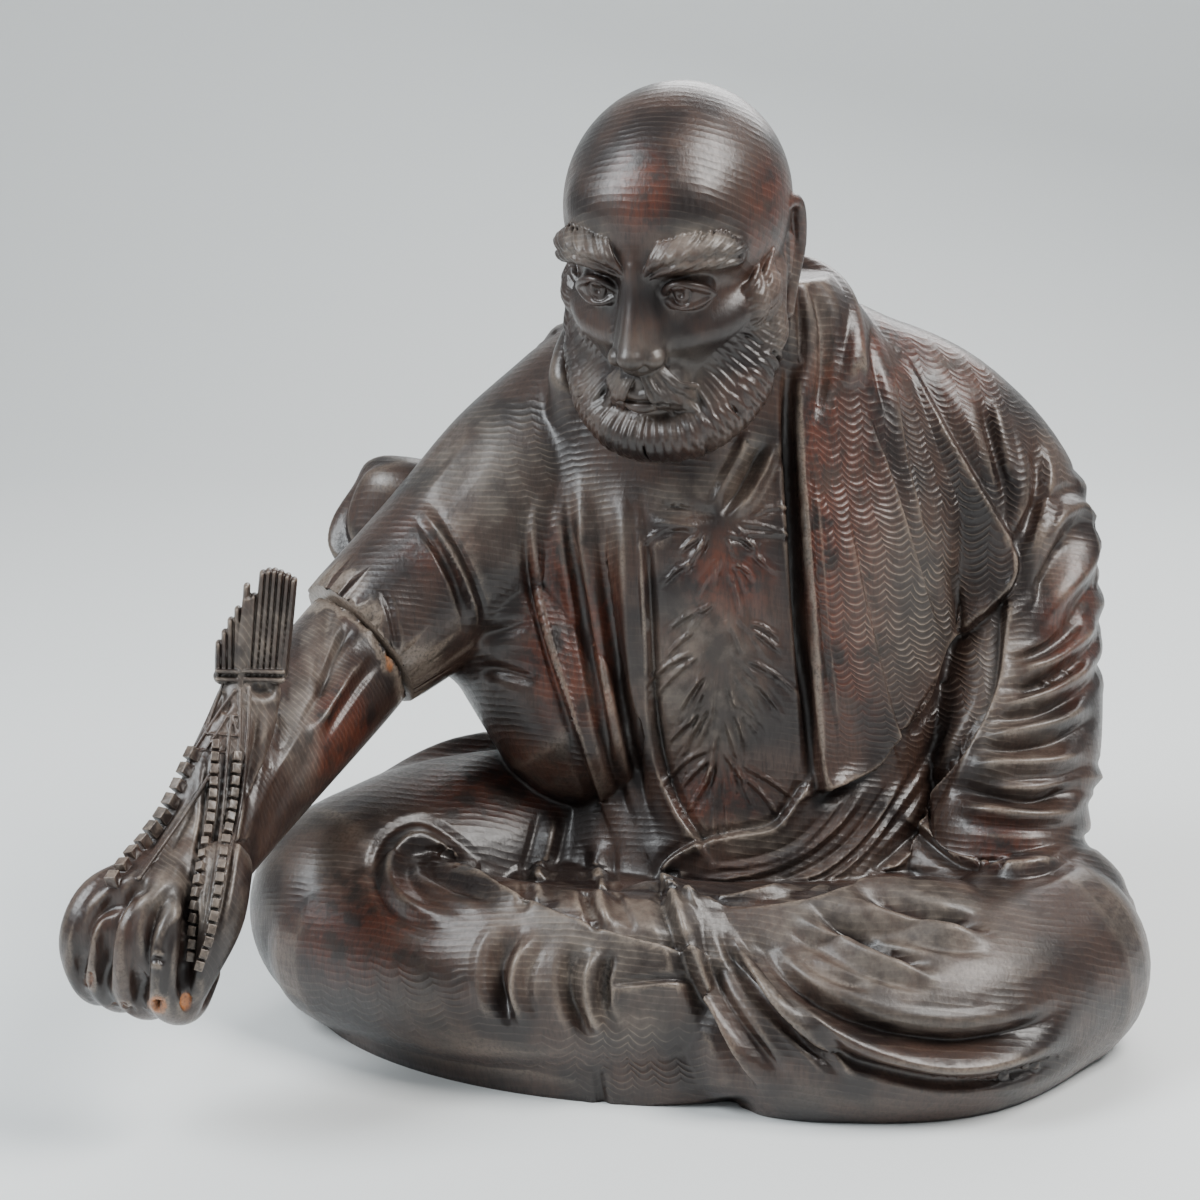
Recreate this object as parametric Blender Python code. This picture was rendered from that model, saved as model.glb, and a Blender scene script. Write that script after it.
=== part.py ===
# A seated figure carved in dark wood. Its right arm is stretched out over the knee, with bead
# strings and a tassel carved along the forearm. The front faces -Y and the underside is on Z = 0.
import math

import bmesh
import bpy
import numpy as np
from mathutils import Euler, Matrix, Vector

# Driving sizes, in metres
figure_height = 0.300  # from the floor to the crown of the head
joint_gap = 0.0003  # between the sleeve's end and the forearm set against it

# The figure is drawn on a carver's grid, and every form below is given in its squares
squares_high = 91.1
square = figure_height / squares_high

# The folds are drawn as seen from an eye that goes round the figure, in pixels of a square picture
picture_side = 1200
pixels_per_square = 10.0  # at the drawing's aim
eye_distance = 283.0
eye_rise = math.radians(14.0)
drawing_aim = np.array([-10.0, 0.0, 38.9])

# How fine the clay is fused, and how many triangles are kept
body_grain = 0.6
body_smoothing = 6
body_triangles = 7500
arm_grain = 0.34
arm_smoothing = 3
arm_triangles = 2300

wood_colour = (0.055, 0.028, 0.018, 1.0)
wood_roughness = 0.4


def spline(stations, steps):
    """Smooth rows through the stations, by Catmull and Rom's rule."""
    s = np.array(stations, float)
    s = np.vstack([2 * s[0] - s[1], s, 2 * s[-1] - s[-2]])
    rows = []
    for i in range(1, len(s) - 2):
        a, b, c, d = s[i - 1 : i + 3]
        for t in np.arange(steps) / steps:
            cubic = (3 * b - a - 3 * c + d) * t**3
            rows.append(0.5 * (2 * b + (c - a) * t + (2 * a - 5 * b + 4 * c - d) * t**2 + cubic))
    rows.append(s[-2])
    return np.array(rows)


def ring(bm, centre, side, up, wide, thick, sides, cap):
    frame = Matrix((side * wide, up * thick, side.cross(up))).transposed().to_4x4()
    frame.translation = centre
    made = bmesh.ops.create_circle(bm, cap_ends=cap, radius=1, segments=sides, matrix=frame)
    return made["verts"]


def loop_edges(verts):
    inside = set(verts)
    return [e for e in {e for v in verts for e in v.link_edges} if set(e.verts) <= inside]


def skinned(bm, rings):
    """One skin over a row of rings, each given by ring's arguments."""
    previous = None
    for n, values in enumerate(rings):
        verts = ring(bm, *values, cap=n in (0, len(rings) - 1))
        if previous:
            bmesh.ops.bridge_loops(bm, edges=loop_edges(previous) + loop_edges(verts))
        previous = verts


def rounded_end(row, tangent, sign):
    """Rings that close a limb as a dome, from its tip inwards."""
    rows = []
    for angle in (12, 35, 62):
        reach, share = math.cos(math.radians(angle)), math.sin(math.radians(angle))
        place = row[:3] + sign * tangent * min(row[3], row[4]) * reach
        rows.append((np.append(place, row[3:] * share), tangent))
    return rows


def limb(bm, stations, reference=(0, 0, 1), steps=5, sides=24):
    """A round-ended form through (x, y, z, half width, half thickness) stations."""
    rows = spline([s if len(s) == 5 else (*s, s[3]) for s in stations], steps)
    tangents = np.gradient(rows[:, :3], axis=0)
    tangents /= np.linalg.norm(tangents, axis=1)[:, None]
    table = rounded_end(rows[0], tangents[0], -1) + list(zip(rows, tangents))
    table += rounded_end(rows[-1], tangents[-1], 1)[::-1]
    rings = []
    for row, tangent in table:
        along = Vector(tangent)
        side = along.cross(Vector(reference)).normalized()
        rings.append((Vector(row[:3]), side, side.cross(along), row[3], row[4], sides))
    skinned(bm, rings)


def stack(bm, levels, steps=4, sides=48):
    """A mass built up from (z, x, y, half width, half depth) levels."""
    across, back = Vector((1, 0, 0)), Vector((0, 1, 0))
    rows = spline(levels, steps)
    skinned(bm, [(Vector((x, y, z)), across, back, wide, deep, sides) for z, x, y, wide, deep in rows])


def ball(bm, centre, radii):
    frame = Matrix.LocRotScale(Vector(centre), None, Vector(radii))
    bmesh.ops.create_icosphere(bm, subdivisions=3, radius=1, matrix=frame)


def settled(thing):
    """The object with its modifiers applied."""
    graph = bpy.context.evaluated_depsgraph_get()
    mesh = bpy.data.meshes.new_from_object(thing.evaluated_get(graph))
    thing.modifiers.clear()
    thing.data = mesh
    return thing


def fused(name, bm, grain, smoothing):
    """The shapes of bm made one skin, with its inner creases smoothed."""
    bmesh.ops.recalc_face_normals(bm, faces=bm.faces)
    mesh = bpy.data.meshes.new(name)
    bm.to_mesh(mesh)
    bm.free()
    clay = bpy.data.objects.new(name, mesh)
    bpy.context.scene.collection.objects.link(clay)
    remesh = clay.modifiers.new("Fuse", "REMESH")
    remesh.mode = "VOXEL"
    remesh.voxel_size = grain
    smooth = clay.modifiers.new("Smooth", "SMOOTH")
    smooth.factor = 0.5
    smooth.iterations = smoothing
    return settled(clay)


def add_trunk(bm):
    trunk = (
        (0, 3, 3, 31, 22),
        (8, 3, 3, 30, 22),
        (16, 5, 2, 24, 18.5),
        (24, 6, 1, 20, 15.5),
        (32, 5, 1, 21, 15.5),
        (40, 3, 2, 24, 16),
        (48, 2, 3, 26, 16.5),
        (54, 2, 3.5, 24, 15.5),
        (60, 2, 2.5, 20, 14),
        (65, 2.5, 1, 15.5, 12),
        (69, 3, -1, 12, 10),
        (72, 3, -3, 9, 8),
    )
    stack(bm, trunk)


def add_robe(bm):
    # the collar stands round the back of the neck
    collar = (
        (12.5, -6.5, 56, 1.5, 2.4),
        (14, -6, 63, 1.8, 3),
        (12.3, -1, 69, 1.8, 3),
        (6, 4.5, 70.8, 1.8, 3),
        (-3, 4.5, 70, 1.8, 3),
        (-10, 0, 67, 1.8, 3),
        (-13.2, -5, 62, 1.7, 2.8),
        (-12.5, -6.5, 57, 1.4, 2.2),
    )
    limb(bm, collar, sides=12)
    # the robe's side falls from the raised arm to the waist
    limb(bm, ((-24.5, -3, 41.5, 8), (-17.5, -2, 37, 9.2), (-11, -3, 29, 10.3)), reference=(0, 1, 0))
    # the back corner of the wide sleeve hangs behind the raised arm
    limb(bm, ((-14, 5, 46, 7, 8.5), (-24, 6.5, 45, 5, 7.5), (-27, 7, 44.5, 4, 7)))
    limb(bm, ((-28.6, 7.2, 48, 6.2, 3.8), (-29.9, 7.6, 43, 7, 4), (-30.6, 7.6, 39, 6.8, 3.6)), reference=(0, 1, 0))
    # a roll of cloth lies behind the right thigh
    limb(bm, ((-26, 7, 11, 5), (-19, 12, 15.2, 5.4), (-9, 14, 15.5, 6.5)))


def add_legs(bm):
    limb(bm, ((-12, 4, 11.5, 13), (-24, -3, 11, 12.5), (-33, -11, 10.5, 11.5)))
    limb(bm, ((-33, -15, 9, 9.5), (-20, -25, 9, 9), (-6, -28, 9, 8.5), (6, -26, 9, 7.5)))
    limb(bm, ((16, 4, 11, 13), (26, -4, 10, 12), (32, -14, 9, 10.8)))
    limb(bm, ((32, -20, 8, 11), (22, -30, 6.6, 10), (11, -31.5, 6, 9.4), (5, -30, 6, 9)))
    limb(bm, ((21, -26, 9, 9.5), (9, -27, 9, 9), (-4, -24, 9.5, 8)))
    seat = ((-2, 0, -5, 39, 30), (4, 0, -5, 40, 31), (8, 0, -4, 37, 29), (12, 0, -3, 31, 23), (15, 1, -2, 25, 18))
    stack(bm, seat)


def add_arms(bm):
    # the left arm is bent beside the body, with its hand hidden in the sleeve on the thigh
    left = (
        (14, 6, 60, 8),
        (22.5, 6, 54, 10),
        (28.7, 6, 45, 11),
        (31.2, 2, 33, 9.5),
        (31, -6, 24, 8.5),
        (30, -11, 18.5, 7),
    )
    limb(bm, left, reference=(0, 1, 0))
    right = ((-10, 4.5, 56, 10), (-17, 1, 49.5, 10.5), (-25, -4, 43, 9), (-34.5, -10.7, 36, 7.2))
    limb(bm, right, reference=(0, 1, 0))


# The head has a frame of its own, with its eyes on Z = 0. It is bowed, and turned to its right
head_place = Vector((-2.7, -13.5, 75.5))
head_turn = Euler((math.radians(14), 0, math.radians(-22)), "XYZ")


def add_skull(head):
    ball(head, (0, 0.8, 4.5), (10.4, 12, 11))
    ball(head, (0, -4.4, 6), (8.6, 6.7, 6.8))
    ball(head, (0, -2.6, -3.5), (8.6, 8.4, 8.6))
    ball(head, (0, -3.4, -8.8), (7.4, 7, 6))
    ball(head, (0, -9.6, -9.2), (3.9, 2.8, 3.1))
    limb(head, ((0, 2, -3, 7.2), (0, 2.5, -8, 6.6)))  # the nape


def add_middle_of_face(head):
    fine = {"steps": 4, "sides": 12}
    limb(head, ((0, -10.6, 2.4, 1.2), (0, -11.7, 0, 1.2), (0, -12.7, -2.6, 1.4), (0, -13.3, -4.6, 1.7)), **fine)
    limb(head, ((-2.6, -11.4, -9.3, 0.5), (0, -12.4, -9.0, 0.7), (2.6, -11.4, -9.3, 0.5)), **fine)
    limb(head, ((-2.3, -11.4, -10, 0.5), (0, -12.3, -10.3, 0.8), (2.3, -11.4, -10, 0.5)), **fine)


def on_side(sign, *stations):
    """The stations on the head's left, or its right where sign is -1."""
    return tuple((sign * x, *rest) for x, *rest in stations)


def add_side_of_face(head, sign):
    fine = {"steps": 4, "sides": 12}
    (eye, nostril, ear) = on_side(sign, (4.2, -8.6, 0), (1.8, -12.3, -5.4), (9, 2.6, 0))
    ball(head, eye, (2.4, 2.3, 2.1))
    ball(head, nostril, (1.1, 1.4, 1))
    ball(head, ear, (1.1, 2.7, 4.7))
    cheekbone = on_side(sign, (3.2, -8.6, -4.2, 2.1), (5.8, -6.8, -3.6, 2.2), (7.9, -3.4, -2.2, 2), (8.8, 0.5, -1.2, 1.6))
    limb(head, cheekbone, **fine)
    brow = on_side(sign, (1.4, -10.2, 2.8, 1.3), (4.4, -9.9, 3.8, 1.6), (7.4, -7.6, 3.8, 1.5), (8.9, -5, 3.6, 1))
    limb(head, brow, **fine)
    sideburn = on_side(sign, (8.7, -3.2, 3, 0.8), (9, -3, -1, 1.2), (8.8, -2.6, -4, 1.4))
    limb(head, sideburn, **fine)
    beard = on_side(
        sign,
        (8.6, 0, -2.4, 2.1),
        (8.1, -2.4, -7.2, 2.9),
        (6.0, -6.0, -11.5, 3.3),
        (2.7, -8.9, -13.7, 3.2),
        (-0.5, -9.5, -14.1, 3.1),
    )
    limb(head, beard, steps=4, sides=16)
    limb(head, on_side(sign, (0.6, -12.6, -7.2, 0.6), (2.4, -11.9, -8.2, 0.9), (4.8, -10.2, -10.4, 0.9)), **fine)
    rim = on_side(
        sign,
        (9, 0.8, -1.6, 0.7),
        (9.3, 0.7, 2.2, 0.8),
        (9.9, 2.3, 4.2, 0.9),
        (10.4, 4.5, 3.4, 0.9),
        (10.2, 5.1, -0.4, 0.8),
        (9.6, 3.7, -4, 0.9),
        (9.2, 2.5, -6.4, 1.1),
    )
    limb(head, rim, steps=4, sides=10)


def add_head(bm):
    head = bmesh.new()
    add_skull(head)
    add_middle_of_face(head)
    add_side_of_face(head, 1)
    add_side_of_face(head, -1)
    place = Matrix.Translation(head_place) @ head_turn.to_matrix().to_4x4()
    bmesh.ops.transform(head, matrix=place, verts=head.verts)
    scratch = bpy.data.meshes.new("head")
    head.to_mesh(scratch)
    head.free()
    bm.from_mesh(scratch)


# The forearm is set into the sleeve on a plane across the upper arm
joint_centre = Vector((-33.2, -9.8, 36.8))
joint_outward = Vector((-0.69, -0.49, -0.53)).normalized()
joint_reach = 13.0  # how far from its centre the plane cuts the sleeve

# The fist has a frame of its own, from the little finger across to the first one
fist_centre = Vector((-49.6, -43.5, 19.6))
fist_front = Vector((-0.36, -0.87, -0.34)).normalized()
fist_across = Vector((0, 0, 1)).cross(fist_front).normalized()
fist_up = fist_front.cross(fist_across)
fingers = ((-4.9, 1.75), (-2.7, 2.1), (0.0, 2.35), (3.1, 2.3))  # place across, radius


def on_fist(across, front, up, radius):
    return (*(fist_centre + fist_across * across + fist_front * front + fist_up * up), radius)


def add_fist(bm):
    limb(bm, (on_fist(0.4, -6, 2.2, 4), on_fist(0, -2.5, 1.6, 4.2), on_fist(-0.8, 0.4, -0.4, 4.4)), reference=(0, 1, 0))
    curl = {"reference": tuple(fist_across), "steps": 4, "sides": 14}
    for place, radius in fingers:
        finger = (
            on_fist(place * 0.35 + 0.4, -4.6, 4.2, radius * 0.75),
            on_fist(place * 0.8, -0.4, 3.9, radius * 0.95),
            on_fist(place, 2.7, 1.2, radius),
            on_fist(place, 2.9, -3.2, radius),
            on_fist(place, 0.9, -5.9, radius * 0.95),
            on_fist(place, -2.2, -5.2, radius * 0.9),
        )
        limb(bm, finger, **curl)
    thumb = (
        on_fist(5.2, -6.5, 3.2, 2.6),
        on_fist(6.1, -2.4, 1.2, 2.5),
        on_fist(5.0, 0.8, -2.2, 2),
        on_fist(4.1, 1.8, -5, 1.4),
    )
    limb(bm, thumb, **curl)


# The taut bead strings stand on the forearm as a flat blade, with the tassel at its upper end
blade = (
    (-47.2, -41.5, 23.4, 3.9, 1.6),
    (-45.6, -38.4, 26.4, 3.6, 1.7),
    (-44.2, -34.6, 30.4, 3.1, 1.6),
    (-42.2, -31.6, 34.7, 3.0, 1.4),
    (-41.1, -29.6, 38.4, 2.6, 1.2),
)
blade_foot = ((-46, -37, 23, 4.2), (-44, -31, 28, 4.2), (-41.5, -26, 32, 3.4))
bead_strings = (
    ((-50.5, -43.2, 25.3), (-48.2, -38.6, 28.6), (-46.2, -35.2, 32.4), (-43.4, -31.6, 37.2)),
    ((-45.2, -44.0, 20.6), (-44.0, -39.6, 25.6), (-42.9, -36.2, 30.6), (-41.4, -32.2, 37.0)),
)
bead_radius = 0.6
tassel_knot = (-41.0, -29.2, 40.4)
knot_half_width = 2.7
strand_radius = 0.44
strand_depth = 1.0
strand_lengths = (3.0, 4.9, 6.0, 7.6, 6.6, 9.4, 9.8, 9.7, 9.0)  # the first ones are broken short
tassel_spread = 6.0  # across the strands at the knot
tassel_flare = 1.09  # how much wider the strands are at their tips


def add_tassel(bm):
    level = {"reference": (0, 1, 0), "steps": 4, "sides": 12}
    x, y, z = tassel_knot
    ends = ((x - knot_half_width, y, z, 0.9, 1.1), (x + knot_half_width, y, z, 0.9, 1.1))
    limb(bm, ends, **level)
    last = len(strand_lengths) - 1
    for n, length in enumerate(strand_lengths):
        across = (n / last - 0.5) * tassel_spread
        foot = (x + across * 0.88, y, z + 0.4, strand_radius, strand_depth)
        tip = (x + across * tassel_flare + 0.06 * length, y + 0.5, z + length, strand_radius, strand_depth)
        limb(bm, (foot, tip), **level)


def add_forearm(bm):
    arm = ((-29, -6, 41, 6.2), (-34.6, -12, 35.2, 6.4), (-41.5, -24.5, 28.8, 5.8), (-45.8, -35, 23.4, 4.3))
    limb(bm, arm, reference=(0, 1, 0))
    add_fist(bm)
    limb(bm, blade, reference=(0, 1, 0), sides=16)
    limb(bm, blade_foot, reference=(0, 1, 0))
    for string in bead_strings:
        limb(bm, [(*point, bead_radius) for point in string], reference=(0, 1, 0), sides=8)
    add_tassel(bm)


def turned(vectors, turn):
    """Vectors turned about the upright axis, as the eye goes the other way round the figure."""
    x, y, z = vectors.T
    cosine, sine = math.cos(turn), math.sin(turn)
    return np.column_stack([x * cosine + y * sine, y * cosine - x * sine, z])


def in_picture(placed):
    """Where points fall in a drawing, in its pixels, and how far from its eye they are."""
    sine, cosine = math.sin(eye_rise), math.cos(eye_rise)
    x, y, z = placed.T
    away = eye_distance + y * cosine - z * sine
    scale = pixels_per_square * eye_distance / away
    half = picture_side / 2
    return np.column_stack([half + x * scale, half - (y * sine + z * cosine) * scale]), away


hiding_cell = 14  # pixels across the cells in which the nearest skin is looked for
hiding_slack = 3.0  # squares behind the nearest skin that still count as seen
grazing, facing_well = 0.05, 0.3  # cosines between the skin's normal and the line of sight


def seen(placed, normals, spots, away):
    """From 0 to 1, how well the eye sees each point of the skin."""
    eye = eye_distance * np.array([0, -math.cos(eye_rise), math.sin(eye_rise)])
    cosine = ((eye - placed) * normals).sum(axis=1) / away
    cells = np.clip((spots / hiding_cell).astype(int), 0, picture_side // hiding_cell)
    nearest = np.full((picture_side // hiding_cell + 1,) * 2, np.inf)
    np.minimum.at(nearest, (cells[:, 0], cells[:, 1]), np.where(cosine > grazing, away, np.inf))
    shown = away < nearest[cells[:, 0], cells[:, 1]] + hiding_slack
    return shown * swell((cosine - grazing) / (facing_well - grazing))


def to_line(spots, line):
    """Each spot's distance from a drawn line, negative on its left, and its place along it from 0 to 1."""
    steps = np.diff(line, axis=0)
    lengths = np.linalg.norm(steps, axis=1)
    before = np.concatenate([[0], np.cumsum(lengths)])
    best = np.full(len(spots), np.inf)
    side, along = np.ones(len(spots)), np.zeros(len(spots))
    for start, step, length, passed in zip(line, steps, lengths, before):
        offset = spots - start
        t = np.clip(offset @ step / length**2, 0, 1)
        gap = offset - t[:, None] * step
        distance = np.hypot(gap[:, 0], gap[:, 1])
        nearer = distance < best
        best[nearer] = distance[nearer]
        cross = step[0] * offset[:, 1] - step[1] * offset[:, 0]
        side[nearer] = np.where(cross < 0, -1, 1)[nearer]
        along[nearer] = (passed + t * length)[nearer] / before[-1]
    return best * side, along


def swell(x):
    """A smooth rise from 0 to 1."""
    x = np.clip(x, 0, 1)
    return x * x * (3 - 2 * x)


def cut(side, wide, deep):
    """A gouge's groove, with the wood a little full beside it."""
    distance = np.abs(side) / wide
    return -deep * swell(1 - distance) + 0.18 * deep * swell(1 - np.abs(distance - 1.5) / 0.8)


def fold(side, wide, high):
    """A rounded ridge of cloth between two hollows."""
    distance = np.abs(side) / wide
    return high * swell(1 - distance) - 0.45 * high * swell(1 - np.abs(distance - 1.35) / 0.65)


def edge(side, wide, high):
    """A layer's edge: its right side stands proud of the left one."""
    over = swell(side / (0.3 * wide) + 0.5)
    return high * over * np.exp(-np.clip(side, 0, None) / wide) - 0.5 * high * (1 - over) * swell(1 + side / wide)


stroke_steps = 5  # straight pieces between two points of a stroke
taper_share = 0.3  # of a stroke's length, where its end fades
stroke_reach = 3.0  # half widths to each side that a stroke can change


def carved(thing, strokes, turn):
    """The skin worked along strokes of one drawing: (tool, half width, height, tapered ends, points)."""
    mesh = thing.data
    points = np.empty(len(mesh.vertices) * 3)
    mesh.vertices.foreach_get("co", points)
    normals = np.empty_like(points)
    mesh.vertex_normals.foreach_get("vector", normals)
    points, normals = points.reshape(-1, 3), normals.reshape(-1, 3)
    placed = turned(points - drawing_aim, turn)
    spots, away = in_picture(placed)
    shown = seen(placed, turned(normals, turn), spots, away)
    lift = np.zeros(len(points))
    for tool, wide, high, tapered, drawn in strokes:
        line = spline(drawn, stroke_steps)
        reach = stroke_reach * wide * pixels_per_square
        low, top = line.min(axis=0) - reach, line.max(axis=0) + reach
        near = np.flatnonzero((shown > 0) & (spots > low).all(axis=1) & (spots < top).all(axis=1))
        side, along = to_line(spots[near], line)
        strength = shown[near]
        if tapered[0]:
            strength = strength * swell(along / taper_share)
        if tapered[1]:
            strength = strength * swell((1 - along) / taper_share)
        lift[near] += tool(side / pixels_per_square, wide, high) * strength
    points += normals * lift[:, None]
    mesh.vertices.foreach_set("co", points.ravel())
    mesh.update()
    return thing


both, start, end, neither = (True, True), (True, False), (False, True), (False, False)  # the ends that taper

# The front drawing
chest_strokes = (
    (edge, 2.6, 1.3, end, ((836, 784), (819, 780), (810, 632), (802, 524), (795, 415), (800, 300))),
    (
        edge,
        2.6,
        1.3,
        start,
        ((862, 300), (910, 363), (953, 441), (992, 506), (1018, 556), (1014, 589), (971, 628), (943, 643), (923, 701),
         (893, 736), (873, 766), (836, 784)),
    ),
    (edge, 1.8, 0.8, both, ((860, 391), (884, 463), (910, 541), (930, 610), (941, 645))),
    (edge, 1.5, 0.7, both, ((886, 333), (897, 415), (910, 480), (932, 550))),
    (edge, 1.5, 0.6, start, ((845, 497), (862, 589), (880, 667), (893, 732))),
    (cut, 1.2, 1.0, both, ((806, 276), (822, 330), (822, 385), (806, 430))),
    (edge, 2.0, 1.0, end, ((647, 859), (590, 770), (572, 710), (550, 640), (532, 560), (530, 505), (565, 456))),
    (cut, 1.0, 1.2, both, ((566, 520), (584, 600), (596, 686), (610, 757), (632, 829))),
    (cut, 1.0, 1.2, both, ((606, 471), (606, 553), (616, 630), (627, 706), (640, 788), (655, 850))),
    (edge, 1.6, 1.0, start, ((637, 480), (645, 568), (650, 645), (654, 706), (662, 757), (678, 803), (698, 845))),
    (cut, 0.9, 0.7, both, ((657, 507), (685, 512), (718, 524), (742, 495), (772, 448))),
)
sash_strokes = (
    (
        edge,
        2.2,
        1.2,
        neither,
        ((678, 905), (734, 912), (790, 908), (856, 888), (923, 831), (940, 792), (971, 749), (997, 688), (1005, 612)),
    ),
    (edge, 1.6, 1.2, neither, ((680, 906), (660, 885), (667, 862), (698, 846), (734, 838), (774, 829), (800, 790))),
    (cut, 1.0, 0.8, both, ((698, 890), (759, 882), (810, 856), (851, 813), (877, 778), (895, 745))),
    (cut, 1.0, 0.9, both, ((729, 899), (790, 893), (841, 866), (887, 808), (912, 757), (938, 717))),
    (cut, 1.0, 0.8, both, ((861, 861), (912, 800), (943, 752), (962, 706))),
)
sleeve_strokes = (
    (cut, 1.4, 1.0, both, ((979, 387), (992, 428), (1005, 476), (1012, 530))),
    (cut, 1.4, 1.0, both, ((1036, 428), (1044, 467), (1042, 502), (1023, 558))),
    (
        fold,
        1.6,
        1.0,
        both,
        ((1016, 593), (1036, 549), (1057, 519), (1079, 508), (1092, 523), (1090, 558), (1057, 601), (1023, 649)),
    ),
    (fold, 1.4, 1.0, both, ((1005, 680), (1047, 666), (1076, 642), (1092, 616))),
    (fold, 1.4, 1.1, both, ((992, 712), (1036, 700), (1070, 682), (1090, 658))),
    (fold, 1.4, 1.1, both, ((979, 742), (1020, 734), (1058, 722), (1088, 702))),
    (fold, 1.4, 1.1, both, ((966, 768), (1014, 766), (1052, 762), (1084, 748))),
    (cut, 1.6, 1.4, both, ((945, 790), (990, 796), (1040, 806), (1092, 790))),
    (edge, 1.8, 1.2, neither, ((1085, 845), (1049, 867), (1005, 873), (962, 862), (928, 838))),
    (fold, 0.9, 1.0, both, ((417, 502), (436, 530), (456, 565), (472, 605), (478, 640))),
    (cut, 0.7, 0.4, both, ((378, 585), (388, 604), (395, 631), (398, 655))),
)
lap_strokes = (
    (
        fold,
        1.4,
        1.2,
        neither,
        ((470, 885), (443, 912), (407, 905), (382, 890), (387, 854), (407, 841), (428, 844), (453, 864), (479, 885)),
    ),
    (cut, 1.6, 1.4, neither, ((410, 862), (440, 872), (473, 888))),
    (edge, 2.0, 1.3, start, ((428, 841), (468, 874), (524, 905), (586, 927), (627, 940), (683, 952))),
    (fold, 1.3, 1.1, both, ((557, 823), (549, 859), (540, 902))),
    (fold, 1.3, 1.1, both, ((599, 854), (604, 890), (616, 935))),
    (cut, 1.3, 1.4, both, ((526, 931), (509, 961), (511, 995), (524, 1030))),
    (cut, 1.1, 1.2, both, ((577, 946), (566, 977), (576, 1012), (601, 1043))),
    (cut, 1.0, 1.0, both, ((608, 946), (596, 977), (604, 1015))),
    (edge, 2.4, 1.5, start, ((765, 1100), (729, 1040), (703, 992), (683, 951), (667, 908))),
    (cut, 2.0, 1.8, both, ((640, 1124), (700, 1120), (756, 1110))),
    (cut, 1.3, 1.0, both, ((693, 915), (700, 951), (723, 1002), (759, 1053), (790, 1088))),
    (fold, 1.2, 1.0, both, ((712, 918), (745, 965), (792, 1015), (830, 1053), (861, 1086))),
    (cut, 1.6, 1.5, both, ((749, 931), (774, 977), (815, 1007), (887, 1038), (963, 1050), (1030, 1036), (1085, 995))),
    (fold, 1.6, 0.9, both, ((739, 966), (810, 1028), (887, 1063), (989, 1072), (1065, 1050), (1110, 1020))),
    (fold, 1.3, 1.1, both, ((790, 915), (836, 941), (887, 966), (943, 984))),
    (fold, 1.3, 1.1, both, ((825, 900), (877, 917), (938, 933), (999, 938))),
)


def fan(centre, inner, outer, first, last, count, wide, deep):
    """Locks of hair combed outwards: cuts from an inner to an outer ring, between two angles."""
    strokes = []
    for angle in np.radians(np.linspace(first, last, count)):
        ray = np.array([math.cos(angle), math.sin(angle)])
        drawn = [tuple(centre + ray * reach) for reach in (inner, (inner + outer) / 2, outer)]
        strokes.append((cut, wide, deep, both, drawn))
    return tuple(strokes)


beard_strokes = fan(np.array([640, 345]), 68, 116, 8, 172, 13, 0.75, 0.4)

# The other drawings carry the same robe round the sides and the back, more plainly
left_strokes = (
    (fold, 1.8, 0.7, both, ((600, 600), (660, 618), (720, 606), (770, 570))),
    (fold, 1.8, 0.7, both, ((585, 670), (645, 690), (710, 678), (765, 645))),
    (fold, 1.8, 0.7, both, ((560, 735), (615, 756), (690, 750), (755, 720))),
    (cut, 1.6, 1.0, both, ((530, 800), (580, 822), (650, 820), (720, 796))),
    (fold, 1.8, 0.9, both, ((400, 930), (480, 966), (580, 985), (700, 975), (800, 940))),
    (cut, 1.6, 1.0, both, ((400, 1030), (480, 1052), (600, 1062), (740, 1045))),
)
back_strokes = (
    (edge, 2.0, 1.0, neither, ((640, 360), (590, 352), (500, 345), (420, 350), (370, 370))),
    (fold, 2.2, 1.1, both, ((420, 400), (370, 520), (360, 660), (390, 800))),
    (fold, 2.2, 1.2, both, ((480, 420), (450, 560), (450, 700), (490, 850))),
    (fold, 2.2, 1.2, both, ((545, 420), (560, 560), (560, 700), (600, 850))),
    (fold, 2.0, 1.0, both, ((610, 430), (660, 540), (670, 660), (680, 790))),
    (cut, 1.8, 1.1, both, ((250, 470), (300, 560), (310, 680), (290, 780))),
    (fold, 1.6, 1.0, both, ((140, 610), (200, 640), (270, 620))),
    (fold, 1.6, 1.0, both, ((140, 690), (200, 720), (270, 700))),
    (fold, 2.2, 1.2, both, ((180, 900), (320, 930), (480, 900), (640, 930), (820, 890))),
    (cut, 2.0, 1.2, both, ((150, 960), (330, 1010), (520, 1015), (720, 1000), (890, 940))),
)
right_strokes = (
    (fold, 1.5, 1.0, both, ((520, 500), (500, 560), (520, 620), (560, 660))),
    (fold, 2.0, 1.1, both, ((540, 640), (570, 730), (590, 800), (620, 850))),
    (fold, 2.0, 1.1, both, ((470, 660), (500, 770), (530, 850), (560, 890))),
    (fold, 1.8, 0.8, both, ((380, 930), (460, 952), (560, 958), (650, 945))),
    (cut, 1.6, 0.9, both, ((380, 1010), (460, 1030), (560, 1036), (650, 1026))),
)

drawings = (
    (0, chest_strokes + sash_strokes + sleeve_strokes + lap_strokes + beard_strokes),
    (90, left_strokes),
    (180, back_strokes),
    (270, right_strokes),
)


def with_fewer_faces(thing, triangles):
    thin = thing.modifiers.new("Fewer faces", "DECIMATE")
    thin.ratio = triangles / (2 * len(thing.data.polygons))
    thin.use_collapse_triangulate = True
    return settled(thing)


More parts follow.
